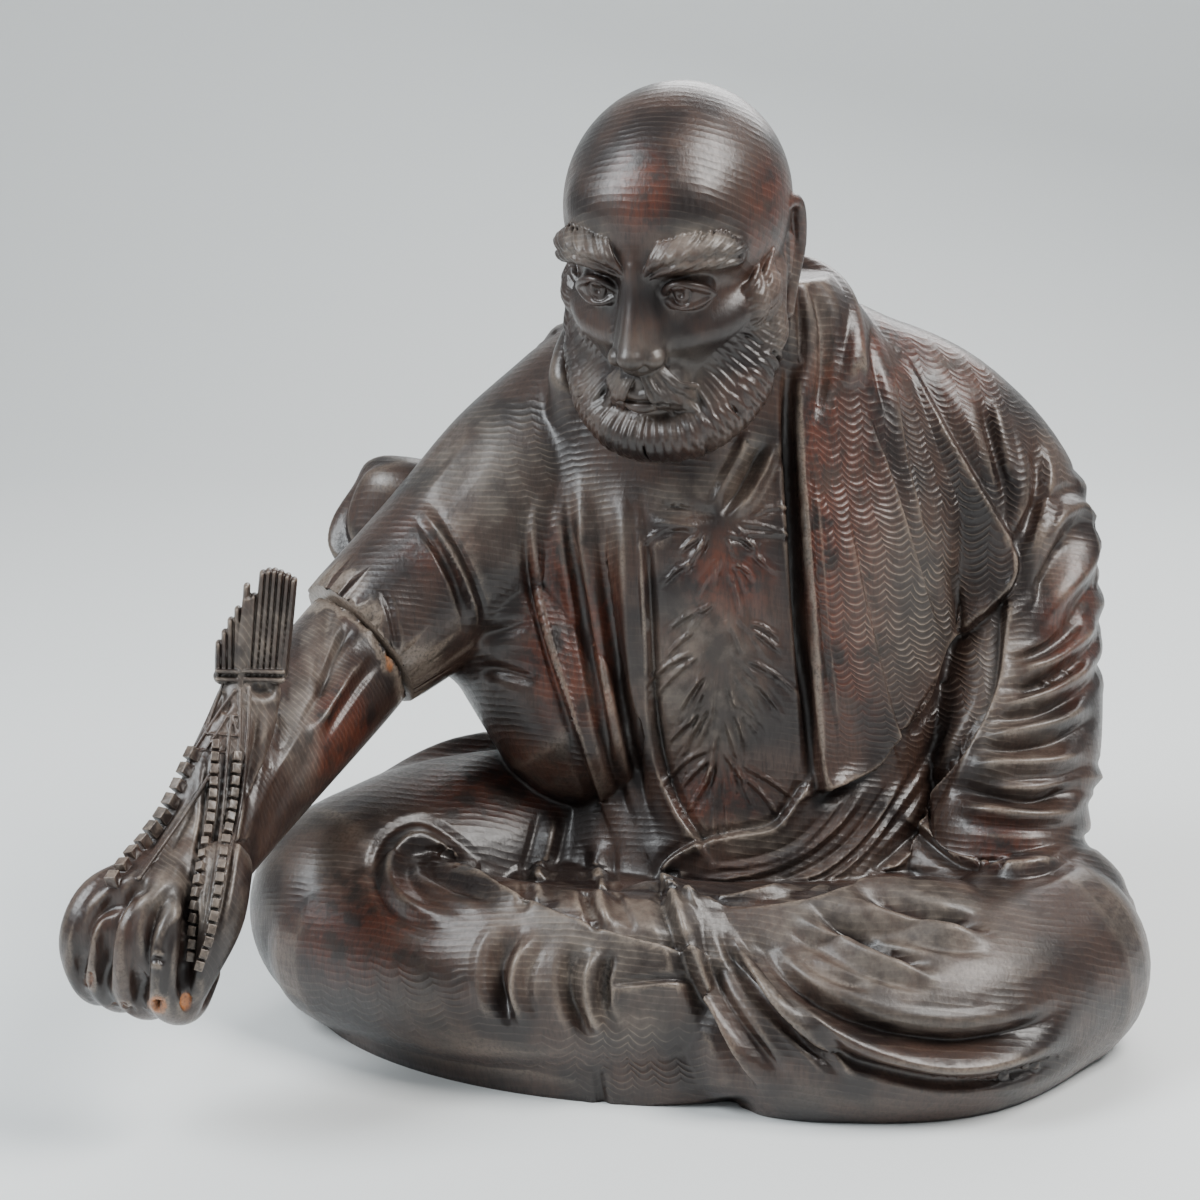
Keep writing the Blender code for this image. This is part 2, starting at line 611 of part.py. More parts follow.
def sliced(thing, point, outward, reach=math.inf):
    """What lies outward of the plane is taken off, as far as reach from the point, and the cut closed flat."""
    bm = bmesh.new()
    bm.from_mesh(thing.data)
    faces = [f for f in bm.faces if (f.calc_center_median() - point).length < reach]
    edges = {e for f in faces for e in f.edges}
    verts = {v for f in faces for v in f.verts}
    near = [*verts, *edges, *faces]
    bmesh.ops.bisect_plane(bm, geom=near, dist=1e-4, plane_co=point, plane_no=outward, clear_outer=True)
    bmesh.ops.holes_fill(bm, edges=[e for e in bm.edges if e.is_boundary], sides=0)
    bmesh.ops.triangulate(bm, faces=bm.faces)
    bm.to_mesh(thing.data)
    bm.free()


def wood():
    material = bpy.data.materials.new("dark_wood")
    material.use_nodes = True
    shader = material.node_tree.nodes["Principled BSDF"]
    shader.inputs["Base Color"].default_value = wood_colour
    shader.inputs["Roughness"].default_value = wood_roughness
    return material


def build_figure():
    bm = bmesh.new()
    add_trunk(bm)
    add_robe(bm)
    add_legs(bm)
    add_arms(bm)
    add_head(bm)
    figure = fused("seated_figure", bm, body_grain, body_smoothing)
    for degrees, strokes in drawings:
        carved(figure, strokes, math.radians(degrees))
    with_fewer_faces(figure, body_triangles)
    sliced(figure, Vector((0, 0, 0)), Vector((0, 0, -1)))
    sliced(figure, joint_centre, joint_outward, joint_reach)
    return figure


def build_forearm():
    bm = bmesh.new()
    add_forearm(bm)
    forearm = with_fewer_faces(fused("outstretched_forearm", bm, arm_grain, arm_smoothing), arm_triangles)
    sliced(forearm, joint_centre + joint_outward * (joint_gap / square), -joint_outward)
    return forearm


def build():
    for thing in list(bpy.data.objects):
        bpy.data.objects.remove(thing)
    material = wood()
    for piece in (build_figure(), build_forearm()):
        piece.data.transform(Matrix.Scale(square, 4))
        piece.data.materials.append(material)


build()
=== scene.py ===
# A seated monk carved in dark wood, dressed around its CAD frame: the same forms as the solids,
# fused at a finer grain, with folds, hair, beads and gouge marks carved into them.
import math
import random

import bmesh
import bpy
import numpy as np
from mathutils import Euler, Matrix, Vector, noise
from mathutils.bvhtree import BVHTree


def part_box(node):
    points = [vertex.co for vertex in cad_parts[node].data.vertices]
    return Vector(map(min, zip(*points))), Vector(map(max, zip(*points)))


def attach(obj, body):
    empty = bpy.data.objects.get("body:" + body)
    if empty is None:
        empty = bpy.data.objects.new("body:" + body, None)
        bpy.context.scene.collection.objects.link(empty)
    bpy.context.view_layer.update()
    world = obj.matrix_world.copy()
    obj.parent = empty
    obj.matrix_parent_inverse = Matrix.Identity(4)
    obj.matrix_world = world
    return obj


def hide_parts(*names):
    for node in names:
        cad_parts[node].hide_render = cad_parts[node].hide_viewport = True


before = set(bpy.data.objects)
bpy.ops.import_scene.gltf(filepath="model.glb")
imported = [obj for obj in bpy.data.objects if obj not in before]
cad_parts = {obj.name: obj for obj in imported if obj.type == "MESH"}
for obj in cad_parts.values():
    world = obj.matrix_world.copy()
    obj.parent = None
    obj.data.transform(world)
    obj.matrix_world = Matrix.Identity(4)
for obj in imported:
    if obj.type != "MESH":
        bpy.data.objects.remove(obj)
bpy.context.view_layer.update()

random.seed(7)

squaresHigh = 91.1  # the carver's grid: the crown of the head is on this line
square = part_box("seated_figure")[1][2] / squaresHigh

# the folds are drawn in pixels of a square picture, from an eye that goes round the figure
drawing = {
    "side": 1200,
    "pixelsPerSquare": 10.0,  # at the aim
    "distance": 283.0,
    "rise": math.radians(14.0),
    "aim": np.array([-10.0, 0.0, 38.9]),
    "hidingCell": 10,  # pixels across the cells in which the nearest skin is looked for
    "hidingSlack": 2.2,  # squares behind the nearest skin that still count as seen
    "taper": 0.3,  # share of a stroke's length over which an end fades
}


# The clay: rings, limbs and balls, fused into one skin
def spline(stations, steps):
    s = np.array(stations, float)
    s = np.vstack([2 * s[0] - s[1], s, 2 * s[-1] - s[-2]])
    rows = []
    for i in range(1, len(s) - 2):
        a, b, c, d = s[i - 1 : i + 3]
        for t in np.arange(steps) / steps:
            cubic = (3 * b - a - 3 * c + d) * t**3
            rows.append(0.5 * (2 * b + (c - a) * t + (2 * a - 5 * b + 4 * c - d) * t**2 + cubic))
    rows.append(s[-2])
    return np.array(rows)


def ring(bm, centre, side, up, wide, thick, sides, cap):
    place = Matrix((side * wide, up * thick, side.cross(up))).transposed().to_4x4()
    place.translation = centre
    return bmesh.ops.create_circle(bm, cap_ends=cap, radius=1, segments=sides, matrix=place)["verts"]


def loopEdges(verts):
    inside = set(verts)
    return [e for e in {e for v in verts for e in v.link_edges} if set(e.verts) <= inside]


pot = bpy.data.meshes.new("pot")  # carries a small form into a big one


def pour(bm, form):
    form.to_mesh(pot)
    form.free()
    bm.from_mesh(pot)


def skin(bm, rings):  # one skin over a row of rings
    form = bmesh.new()
    previous = None
    for n, values in enumerate(rings):
        verts = ring(form, *values, cap=n in (0, len(rings) - 1))
        if previous:
            bmesh.ops.bridge_loops(form, edges=loopEdges(previous) + loopEdges(verts))
        previous = verts
    bmesh.ops.recalc_face_normals(form, faces=form.faces)
    pour(bm, form)


def roundedEnd(row, tangent, sign, count):  # a dome's rings, from its tip inwards
    rows = []
    for angle in np.linspace(10, 72, count):
        reach, share = math.cos(math.radians(angle)), math.sin(math.radians(angle))
        place = row[:3] + sign * tangent * min(row[3], row[4]) * reach
        rows.append((np.append(place, row[3:] * share), tangent))
    return rows


def limb(bm, stations, reference=(0, 0, 1), steps=8, sides=40):
    # stations are (x, y, z, half width, half thickness)
    rows = spline([s if len(s) == 5 else (*s, s[3]) for s in stations], steps)
    tangents = np.gradient(rows[:, :3], axis=0)
    tangents /= np.linalg.norm(tangents, axis=1)[:, None]
    count = max(3, sides // 4)
    table = roundedEnd(rows[0], tangents[0], -1, count) + list(zip(rows, tangents))
    table += roundedEnd(rows[-1], tangents[-1], 1, count)[::-1]
    rings = []
    for row, tangent in table:
        along = Vector(tangent)
        side = along.cross(Vector(reference)).normalized()
        rings.append((Vector(row[:3]), side, side.cross(along), row[3], row[4], sides))
    skin(bm, rings)


def stack(bm, levels, steps=8, sides=96):  # levels are (z, x, y, half width, half depth)
    across, back = Vector((1, 0, 0)), Vector((0, 1, 0))
    rows = spline(levels, steps)
    skin(bm, [(Vector((x, y, z)), across, back, wide, deep, sides) for z, x, y, wide, deep in rows])


def ball(bm, centre, radii, finer=3):
    place = Matrix.LocRotScale(Vector(centre), None, Vector(radii))
    form = bmesh.new()
    bmesh.ops.create_icosphere(form, subdivisions=finer, radius=1, matrix=place)
    pour(bm, form)


def settle(thing):  # applies the modifiers
    graph = bpy.context.evaluated_depsgraph_get()
    mesh = bpy.data.meshes.new_from_object(thing.evaluated_get(graph))
    thing.modifiers.clear()
    thing.data = mesh
    return thing


def asThing(name, bm):
    mesh = bpy.data.meshes.new(name)
    bm.to_mesh(mesh)
    bm.free()
    thing = bpy.data.objects.new(name, mesh)
    bpy.context.scene.collection.objects.link(thing)
    return thing


def fuse(thing, grain, smoothing):
    remesh = thing.modifiers.new("Fuse", "REMESH")
    remesh.mode = "VOXEL"
    remesh.voxel_size = grain
    smooth = thing.modifiers.new("Smooth", "SMOOTH")
    smooth.factor = 0.5
    smooth.iterations = smoothing
    return settle(thing)


def soften(thing, rounds):
    smooth = thing.modifiers.new("Soften", "SMOOTH")
    smooth.factor = 0.5
    smooth.iterations = rounds
    return settle(thing)


def thinTo(thing, triangles):
    thin = thing.modifiers.new("Thin", "DECIMATE")
    thin.ratio = min(1.0, triangles / (2 * len(thing.data.polygons)))
    thin.use_collapse_triangulate = True
    return settle(thing)


def vertexArrays(mesh):
    points = np.empty(len(mesh.vertices) * 3)
    mesh.vertices.foreach_get("co", points)
    normals = np.empty_like(points)
    mesh.vertex_normals.foreach_get("vector", normals)
    return points.reshape(-1, 3), normals.reshape(-1, 3)


def putBack(mesh, points):
    mesh.vertices.foreach_set("co", points.ravel())
    mesh.update()


def keepLayer(thing, name, values):  # a value for each point, which the wood reads
    layer = thing.data.attributes.new(name, "FLOAT", "POINT")
    layer.data.foreach_set("value", np.ascontiguousarray(values, dtype=np.float32))


def skinTree(mesh):  # finds places on a skin
    return BVHTree.FromPolygons([v.co for v in mesh.vertices], [tuple(p.vertices) for p in mesh.polygons])


# Carving along drawn strokes
def swell(x):  # a smooth rise from 0 to 1
    x = np.clip(x, 0, 1)
    return x * x * (3 - 2 * x)


def turned(vectors, turn):
    x, y, z = vectors.T
    cosine, sine = math.cos(turn), math.sin(turn)
    return np.column_stack([x * cosine + y * sine, y * cosine - x * sine, z])


def inPicture(placed):
    sine, cosine = math.sin(drawing["rise"]), math.cos(drawing["rise"])
    x, y, z = placed.T
    away = drawing["distance"] + y * cosine - z * sine
    scale = drawing["pixelsPerSquare"] * drawing["distance"] / away
    half = drawing["side"] / 2
    return np.column_stack([half + x * scale, half - (y * sine + z * cosine) * scale]), away


def seen(placed, normals, spots, away):  # from 0 to 1, how well the eye sees each point
    rise, cell = drawing["rise"], drawing["hidingCell"]
    eye = drawing["distance"] * np.array([0, -math.cos(rise), math.sin(rise)])
    cosine = ((eye - placed) * normals).sum(axis=1) / away
    last = drawing["side"] // cell
    cells = np.clip((spots / cell).astype(int), 0, last)
    nearest = np.full((last + 1, last + 1), np.inf)
    np.minimum.at(nearest, (cells[:, 0], cells[:, 1]), np.where(cosine > 0.05, away, np.inf))
    shown = away < nearest[cells[:, 0], cells[:, 1]] + drawing["hidingSlack"]
    return shown * swell((cosine - 0.05) / 0.4)


def viewed(thing, turn=0.0):  # points, normals, and where and how well the drawing at this turn shows them
    points, normals = vertexArrays(thing.data)
    placed = turned(points - drawing["aim"], turn)
    spots, away = inPicture(placed)
    return points, normals, spots, seen(placed, turned(normals, turn), spots, away)


def inOval(spots, middle, sizes):  # each spot's distance from the oval's middle, which is 1 on its rim
    return np.linalg.norm((spots - np.array(middle)) / np.array(sizes), axis=1)


def toLine(spots, line):  # each spot's distance, negative on the line's left, and its place along it
    steps = np.diff(line, axis=0)
    lengths = np.linalg.norm(steps, axis=1)
    before = np.concatenate([[0], np.cumsum(lengths)])
    best = np.full(len(spots), np.inf)
    side, along = np.ones(len(spots)), np.zeros(len(spots))
    for start, step, length, passed in zip(line, steps, lengths, before):
        offset = spots - start
        t = np.clip(offset @ step / length**2, 0, 1)
        gap = offset - t[:, None] * step
        distance = np.hypot(gap[:, 0], gap[:, 1])
        nearer = distance < best
        best[nearer] = distance[nearer]
        cross = step[0] * offset[:, 1] - step[1] * offset[:, 0]
        side[nearer] = np.where(cross < 0, -1, 1)[nearer]
        along[nearer] = (passed + t * length)[nearer] / before[-1]
    return best * side, along


def cut(side, wide, deep):  # a gouge's groove, with the wood a little full beside it
    distance = np.abs(side) / wide
    return -deep * swell(1 - distance) + 0.18 * deep * swell(1 - np.abs(distance - 1.5) / 0.8)


def nick(side, wide, deep):  # a knife's sharp line
    return -deep * np.clip(1 - np.abs(side) / wide, 0, 1)


def fold(side, wide, high):  # a rounded ridge of cloth between two hollows
    distance = np.abs(side) / wide
    return high * swell(1 - distance) - 0.45 * high * swell(1 - np.abs(distance - 1.35) / 0.65)


def crease(side, wide, high):  # a ridge with a sharp crest
    distance = np.abs(side) / wide
    return high * np.clip(1 - distance, 0, 1) ** 1.3 - 0.3 * high * swell(1 - np.abs(distance - 1.4) / 0.6)


def edge(side, wide, high):  # a layer's edge: its right side stands proud of the left one
    over = swell(side / (0.22 * wide) + 0.5)
    ledge = high * over * np.exp(-np.clip(side, 0, None) / wide)
    hollow = 0.5 * high * (1 - over) * swell(1 + side / wide)
    return ledge - hollow


both, start, end, neither = (1, 1), (1, 0), (0, 1), (0, 0)  # the ends that taper


def carve(thing, strokes, turn=0.0):
    # strokes are (tool, half width, height, tapered ends, points), in squares and pixels
    points, normals, spots, shown = viewed(thing, turn)
    lift = np.zeros(len(points))
    for tool, wide, high, tapered, drawn in strokes:
        line = spline(drawn, 6)
        reach = 3 * wide * drawing["pixelsPerSquare"]
        low, top = line.min(axis=0) - reach, line.max(axis=0) + reach
        near = np.flatnonzero((shown > 0) & (spots > low).all(axis=1) & (spots < top).all(axis=1))
        side, along = toLine(spots[near], line)
        strength = shown[near]
        if tapered[0]:
            strength = strength * swell(along / drawing["taper"])
        if tapered[1]:
            strength = strength * swell((1 - along) / drawing["taper"])
        lift[near] += tool(side / drawing["pixelsPerSquare"], wide, high) * strength
    putBack(thing.data, points + normals * lift[:, None])


# The body: trunk, robe, legs and arms
body = {
    "grain": 0.21,
    "smoothing": 13,
    "softening": 4,  # rounds of smoothing after the wide strokes
    "fineStroke": 1.0,  # front strokes thinner than this are carved after the softening
    "triangles": 106000,
    "chestHair": 0.3,  # how deep the chest hair is cut
}


def addTrunk(bm):
    stack(bm, ((0, 3, 3, 31, 22), (8, 3, 3, 30, 22), (16, 5, 2, 24, 18.5), (24, 6, 1, 20, 15.5),
               (32, 5, 1, 21, 15.5), (40, 3, 2, 24, 16), (48, 2, 3, 26, 16.5), (54, 2, 3.5, 24, 15.5),
               (60, 2, 2.5, 20, 14), (65, 2.5, 1, 15.5, 12), (69, 3, -1, 12, 10), (72, 3, -3, 9, 8)))


def addRobe(bm):
    collar = ((12.5, -6.5, 56, 1.5, 2.4), (14, -6, 63, 1.8, 3), (12.3, -1, 69, 1.8, 3),
              (6, 4.5, 70.8, 1.8, 3), (-3, 4.5, 70, 1.8, 3), (-10, 0, 67, 1.8, 3), (-13.2, -5, 62, 1.7, 2.8),
              (-12.5, -6.5, 57, 1.4, 2.2))
    limb(bm, collar, sides=16)
    # the robe's side falls from the raised arm to the waist
    limb(bm, ((-24.5, -3, 41.5, 8), (-17.5, -2, 37, 9.2), (-11, -3, 29, 10.3)), reference=(0, 1, 0))
    # the back corner of the wide sleeve hangs behind the raised arm
    limb(bm, ((-14, 5, 46, 7, 8.5), (-24, 6.5, 45, 5, 7.5), (-27, 7, 44.5, 4, 7)))
    corner = ((-28.6, 7.2, 48, 6.2, 3.8), (-29.9, 7.6, 43, 7, 4), (-30.6, 7.6, 39, 6.8, 3.6))
    limb(bm, corner, reference=(0, 1, 0))
    limb(bm, ((-26, 7, 11, 5), (-19, 12, 15.2, 5.4), (-9, 14, 15.5, 6.5)))  # a roll of cloth behind the thigh


def addLegs(bm):
    limb(bm, ((-12, 4, 11.5, 13), (-24, -3, 11, 12.5), (-33, -11, 10.5, 11.5)))
    limb(bm, ((-33, -15, 9, 9.5), (-20, -25, 9, 9), (-6, -28, 9, 8.5), (6, -26, 9, 7.5)))
    limb(bm, ((16, 4, 11, 13), (26, -4, 10, 12), (32, -14, 9, 10.5)))
    limb(bm, ((32, -20, 8, 10.6), (22, -30, 6.6, 10), (11, -31.5, 6, 9.4), (5, -30, 6, 9)))
    limb(bm, ((21, -26, 9, 9.5), (9, -27, 9, 9), (-4, -24, 9.5, 8)))
    stack(bm, ((-2, 0, -5, 39, 30), (4, 0, -5, 40, 30.8), (8, 0, -4, 37, 28.8), (12, 0, -3, 31, 23),
               (15, 1, -2, 25, 18)))


def addArms(bm):
    # the left hand is hidden in the sleeve on the thigh
    left = ((14, 6, 60, 8), (22.5, 6, 54, 10), (28.7, 6, 45, 11), (31.2, 2, 33, 9.5), (31, -6, 24, 8.5),
            (30, -11, 18.5, 7))
    limb(bm, left, reference=(0, 1, 0))
    right = ((-10, 4.5, 56, 10), (-17, 1, 49.5, 10.5), (-25, -4, 43, 9), (-34.5, -10.7, 36, 7.2))
    limb(bm, right, reference=(0, 1, 0))


chestStrokes = (
    # the left lapel with its two layers, and the pale lens at the neck
    (edge, 2.4, 1.5, end, ((836, 784), (819, 780), (810, 632), (802, 524), (795, 415), (798, 310))),
    (edge, 2.4, 1.3, start, ((880, 318), (912, 366), (953, 441), (992, 506), (1016, 552), (1010, 588),
                             (971, 626), (943, 643), (923, 701), (893, 736), (873, 766), (836, 784))),
    (cut, 0.7, 1.3, both, ((788, 330), (787, 415), (793, 524), (800, 632), (808, 720), (812, 790))),
    (edge, 1.8, 0.9, both, ((860, 391), (884, 463), (910, 541), (930, 610), (941, 645))),
    (edge, 1.5, 0.8, both, ((886, 333), (897, 415), (910, 480), (932, 550))),
    (edge, 1.5, 0.7, start, ((845, 497), (862, 589), (880, 667), (893, 732))),
    (edge, 0.8, 0.5, both, ((842, 778), (836, 722), (825, 632), (816, 520), (806, 415))),
    (cut, 1.0, 0.9, both, ((806, 268), (824, 318), (822, 382), (806, 430))),
    (cut, 0.7, 0.5, both, ((797, 270), (801, 330), (797, 392))),
    (cut, 0.6, 0.4, both, ((866, 300), (874, 360), (890, 430))),
    (cut, 0.6, 0.35, both, ((950, 560), (958, 610), (962, 650))),
    # the right lapel and the folds beside it
    (edge, 1.6, 1.0, end, ((600, 800), (588, 765), (570, 705), (549, 640), (533, 570), (530, 520),
                           (545, 480))),
    (crease, 0.5, 0.5, both, ((529, 530), (536, 590), (552, 650), (572, 715), (590, 780))),
    (cut, 0.8, 0.8, both, ((562, 470), (570, 540), (582, 610), (596, 690), (612, 765), (636, 835))),
    (fold, 1.0, 0.7, both, ((580, 455), (584, 540), (594, 620), (606, 700), (624, 790))),
    (cut, 0.8, 0.8, both, ((602, 465), (604, 545), (612, 630), (624, 706), (640, 785), (660, 850))),
    (fold, 1.0, 0.7, both, ((622, 470), (625, 560), (631, 640), (641, 720), (657, 800))),
    (edge, 1.3, 1.2, start, ((638, 480), (645, 568), (649, 645), (652, 706), (660, 757), (676, 803),
                             (700, 842))),
    # the neck's tendons meet at the collarbone's notch
    (cut, 0.8, 0.5, both, ((657, 507), (685, 509), (708, 514), (722, 518))),
    (cut, 0.8, 1.0, both, ((718, 520), (736, 494), (752, 466), (764, 440))),
    (crease, 0.7, 0.6, both, ((711, 508), (726, 478), (742, 448), (752, 425))),
    (crease, 0.8, 0.7, both, ((728, 520), (750, 496), (768, 462), (778, 436))),
    (crease, 0.6, 0.4, both, ((650, 522), (678, 524), (706, 530))),
)
sashStrokes = (
    (edge, 2.0, 1.3, neither, ((678, 905), (734, 912), (790, 908), (856, 888), (923, 831), (940, 792),
                               (971, 749), (997, 688), (1005, 612))),
    (edge, 1.3, 1.2, neither, ((680, 906), (660, 885), (667, 862), (698, 843), (734, 834), (774, 825),
                               (800, 790))),
    (crease, 0.6, 0.7, both, ((680, 888), (720, 880), (770, 868), (810, 848), (846, 815), (872, 778))),
    (crease, 0.6, 0.8, both, ((682, 898), (740, 897), (800, 882), (850, 850), (888, 800), (912, 757))),
    (crease, 0.6, 0.7, both, ((790, 902), (840, 872), (880, 832), (915, 785), (946, 730))),
    (crease, 0.5, 0.6, both, ((700, 868), (745, 866), (790, 852), (822, 826), (842, 800))),
    (cut, 0.8, 0.5, both, ((861, 861), (905, 800), (936, 742), (958, 690))),
    (cut, 0.7, 0.4, both, ((900, 850), (936, 800), (960, 750), (984, 700))),
    (cut, 0.6, 0.6, both, ((905, 740), (930, 700), (950, 668))),
)
sleeveStrokes = (
    # the long lens folds behind the shoulder
    (cut, 1.2, 0.9, both, ((979, 387), (992, 428), (1005, 476), (1012, 530))),
    (crease, 0.9, 0.5, both, ((990, 392), (1003, 440), (1014, 492))),
    (cut, 1.3, 0.9, both, ((1030, 428), (1040, 467), (1038, 502), (1022, 556))),
    (crease, 0.9, 0.5, both, ((1044, 440), (1050, 476), (1042, 520), (1028, 562))),
    # the loop of cloth on the elbow's outside
    (fold, 1.5, 1.1, both, ((1016, 593), (1034, 551), (1055, 520), (1077, 508), (1091, 523), (1088, 558),
                            (1057, 601), (1023, 649))),
    (cut, 1.0, 0.9, both, ((1030, 602), (1052, 566), (1076, 530))),
    # the folds squeezed in the bend
    (fold, 1.2, 1.1, both, ((1005, 680), (1049, 664), (1080, 638), (1098, 610))),
    (fold, 1.2, 1.2, both, ((992, 712), (1040, 698), (1074, 678), (1096, 652))),
    (fold, 1.2, 1.2, both, ((979, 742), (1023, 732), (1062, 720), (1094, 698))),
    (fold, 1.2, 1.2, both, ((966, 766), (1018, 764), (1057, 760), (1090, 746))),
    (cut, 0.6, 0.5, both, ((1006, 664), (1048, 648), (1085, 618))),
    (cut, 0.6, 0.5, both, ((1000, 700), (1046, 684), (1088, 656))),
    (cut, 1.2, 1.3, both, ((945, 788), (990, 794), (1040, 800), (1092, 782))),
    (fold, 1.2, 0.7, both, ((955, 806), (1000, 812), (1050, 814), (1088, 806))),
    (edge, 1.8, 1.2, start, ((1085, 845), (1049, 867), (1005, 873), (962, 862), (928, 838))),
    # the thin leaf of cloth over the right shoulder, and the sleeve's hem
    (crease, 0.8, 1.0, both, ((417, 502), (436, 530), (456, 565), (472, 605), (478, 640))),
    (cut, 0.8, 0.7, both, ((424, 520), (441, 548), (458, 582), (468, 618))),
    (cut, 0.5, 0.4, both, ((378, 585), (388, 604), (395, 631), (398, 655))),
    (crease, 1.4, 0.4, both, ((483, 420), (445, 475), (415, 505))),
    (cut, 1.0, 0.5, both, ((470, 640), (500, 632), (534, 620))),
    (cut, 1.0, 0.5, both, ((474, 668), (506, 672), (540, 684))),
)
lapStrokes = (
    # the loop on the right knee, open to the right like an eye
    (fold, 1.3, 0.9, both, ((468, 918), (432, 914), (402, 898), (390, 870), (400, 846), (420, 838),
                            (444, 852), (468, 872), (496, 890))),
    (cut, 1.2, 1.0, both, ((406, 862), (430, 868), (458, 884), (505, 904))),
    (edge, 1.8, 1.4, start, ((428, 838), (468, 870), (524, 903), (586, 927), (627, 940), (683, 952))),
    # short folds above the ledge, with worn pads between them
    (fold, 1.1, 0.8, both, ((556, 806), (547, 845), (538, 880), (540, 916))),
    (fold, 1.1, 0.8, both, ((600, 836), (598, 880), (604, 915), (620, 944))),
    (cut, 0.8, 0.5, both, ((528, 860), (526, 890), (520, 915))),
    (cut, 0.8, 0.5, both, ((584, 870), (588, 905), (600, 935))),
    (cut, 0.6, 0.4, both, ((616, 880), (622, 905), (636, 934))),
    # the folds below the ledge
    (cut, 1.3, 1.5, both, ((522, 930), (500, 955), (498, 990), (514, 1028))),
    (fold, 1.0, 0.9, both, ((538, 930), (520, 960), (514, 995), (528, 1034))),
    (cut, 1.0, 1.2, both, ((582, 942), (568, 970), (572, 1008), (590, 1040))),
    (fold, 1.0, 1.0, both, ((598, 944), (588, 978), (592, 1012), (606, 1044))),
    (cut, 0.7, 0.7, both, ((612, 950), (604, 980), (606, 1010))),
    (edge, 1.0, 0.7, both, ((606, 988), (640, 984), (672, 982), (700, 986))),
    # the left leg's robe laps over the right shin
    (edge, 2.2, 1.6, start, ((765, 1100), (729, 1040), (703, 992), (683, 951), (667, 908))),
    (cut, 2.2, 1.5, both, ((630, 1126), (700, 1120), (764, 1108))),
    (cut, 0.8, 0.5, both, ((596, 1062), (600, 1090), (606, 1116))),
    (cut, 1.0, 1.0, both, ((697, 915), (704, 951), (727, 1002), (763, 1053), (792, 1088))),
    (crease, 0.6, 0.6, both, ((722, 918), (746, 960), (785, 1008), (830, 1052), (866, 1090))),
    (cut, 0.7, 0.7, both, ((714, 920), (738, 966), (776, 1014), (822, 1058), (850, 1090))),
    (crease, 0.6, 0.6, both, ((738, 950), (778, 998), (826, 1042), (862, 1082))),
    (cut, 1.5, 1.6, both, ((752, 925), (776, 968), (820, 1004), (887, 1033), (963, 1042), (1030, 1028),
                           (1080, 992))),
    (fold, 1.5, 1.1, both, ((722, 925), (762, 978), (812, 1018), (876, 1049), (960, 1066), (1040, 1048),
                            (1085, 1018))),
    (cut, 0.8, 0.7, both, ((808, 1038), (868, 1066), (950, 1082), (1030, 1070), (1088, 1040))),
    # the leaf folds on the thigh
    (fold, 1.1, 1.0, both, ((786, 912), (830, 940), (885, 964), (945, 980))),
    (cut, 1.0, 1.0, both, ((812, 912), (850, 932), (895, 952), (942, 974))),
    (fold, 1.1, 1.0, both, ((828, 898), (872, 916), (930, 931), (1000, 940))),
    (cut, 1.0, 1.0, both, ((852, 890), (900, 905), (950, 917), (996, 931))),
    (crease, 1.6, 0.4, both, ((842, 868), (880, 880), (930, 888))),
    (cut, 0.9, 0.5, both, ((790, 950), (830, 975), (880, 990))),
)
leftStrokes = (
    (fold, 1.6, 0.4, both, ((600, 600), (660, 618), (720, 606), (770, 570))),
    (fold, 1.6, 0.45, both, ((585, 670), (645, 690), (710, 678), (765, 645))),
    (fold, 1.6, 0.45, both, ((560, 735), (615, 756), (690, 750), (755, 720))),
    (crease, 1.0, 0.3, both, ((590, 636), (640, 654), (700, 642))),
    (cut, 1.4, 0.6, both, ((530, 800), (580, 822), (650, 820), (720, 796))),
    (fold, 1.6, 0.9, both, ((400, 930), (480, 966), (580, 985), (700, 975), (800, 940))),
    (crease, 1.0, 0.6, both, ((430, 890), (510, 925), (610, 942), (720, 930))),
    (cut, 1.4, 1.0, both, ((400, 1030), (480, 1052), (600, 1062), (740, 1045))),
)
backStrokes = (
    (edge, 1.8, 1.1, neither, ((640, 360), (590, 352), (500, 345), (420, 350), (370, 370))),
    (fold, 2.0, 1.1, both, ((420, 400), (370, 520), (360, 660), (390, 800))),
    (crease, 1.1, 0.7, both, ((450, 430), (412, 540), (404, 640))),
    (fold, 2.0, 1.2, both, ((480, 420), (450, 560), (450, 700), (490, 850))),
    (fold, 2.0, 1.2, both, ((545, 420), (560, 560), (560, 700), (600, 850))),
    (crease, 1.1, 0.7, both, ((512, 520), (506, 640), (520, 760))),
    (fold, 1.8, 1.0, both, ((610, 430), (660, 540), (670, 660), (680, 790))),
    (cut, 1.6, 1.1, both, ((250, 470), (300, 560), (310, 680), (290, 780))),
    (fold, 1.4, 1.0, both, ((140, 610), (200, 640), (270, 620))),
    (fold, 1.4, 1.0, both, ((140, 690), (200, 720), (270, 700))),
    (fold, 2.0, 1.0, both, ((180, 900), (320, 930), (480, 900), (640, 930), (820, 890))),
    (cut, 1.6, 1.1, both, ((150, 960), (330, 1010), (520, 1015), (720, 1000), (890, 940))),
)
rightStrokes = (
    (fold, 1.3, 1.0, both, ((520, 500), (500, 560), (520, 620), (560, 660))),
    (fold, 1.8, 1.1, both, ((540, 640), (570, 730), (590, 800), (620, 850))),
    (fold, 1.8, 1.1, both, ((470, 660), (500, 770), (530, 850), (560, 890))),
    (fold, 1.6, 0.8, both, ((380, 930), (460, 952), (560, 958), (650, 945))),
    (cut, 1.4, 0.9, both, ((380, 1010), (460, 1030), (560, 1036), (650, 1026))),
)


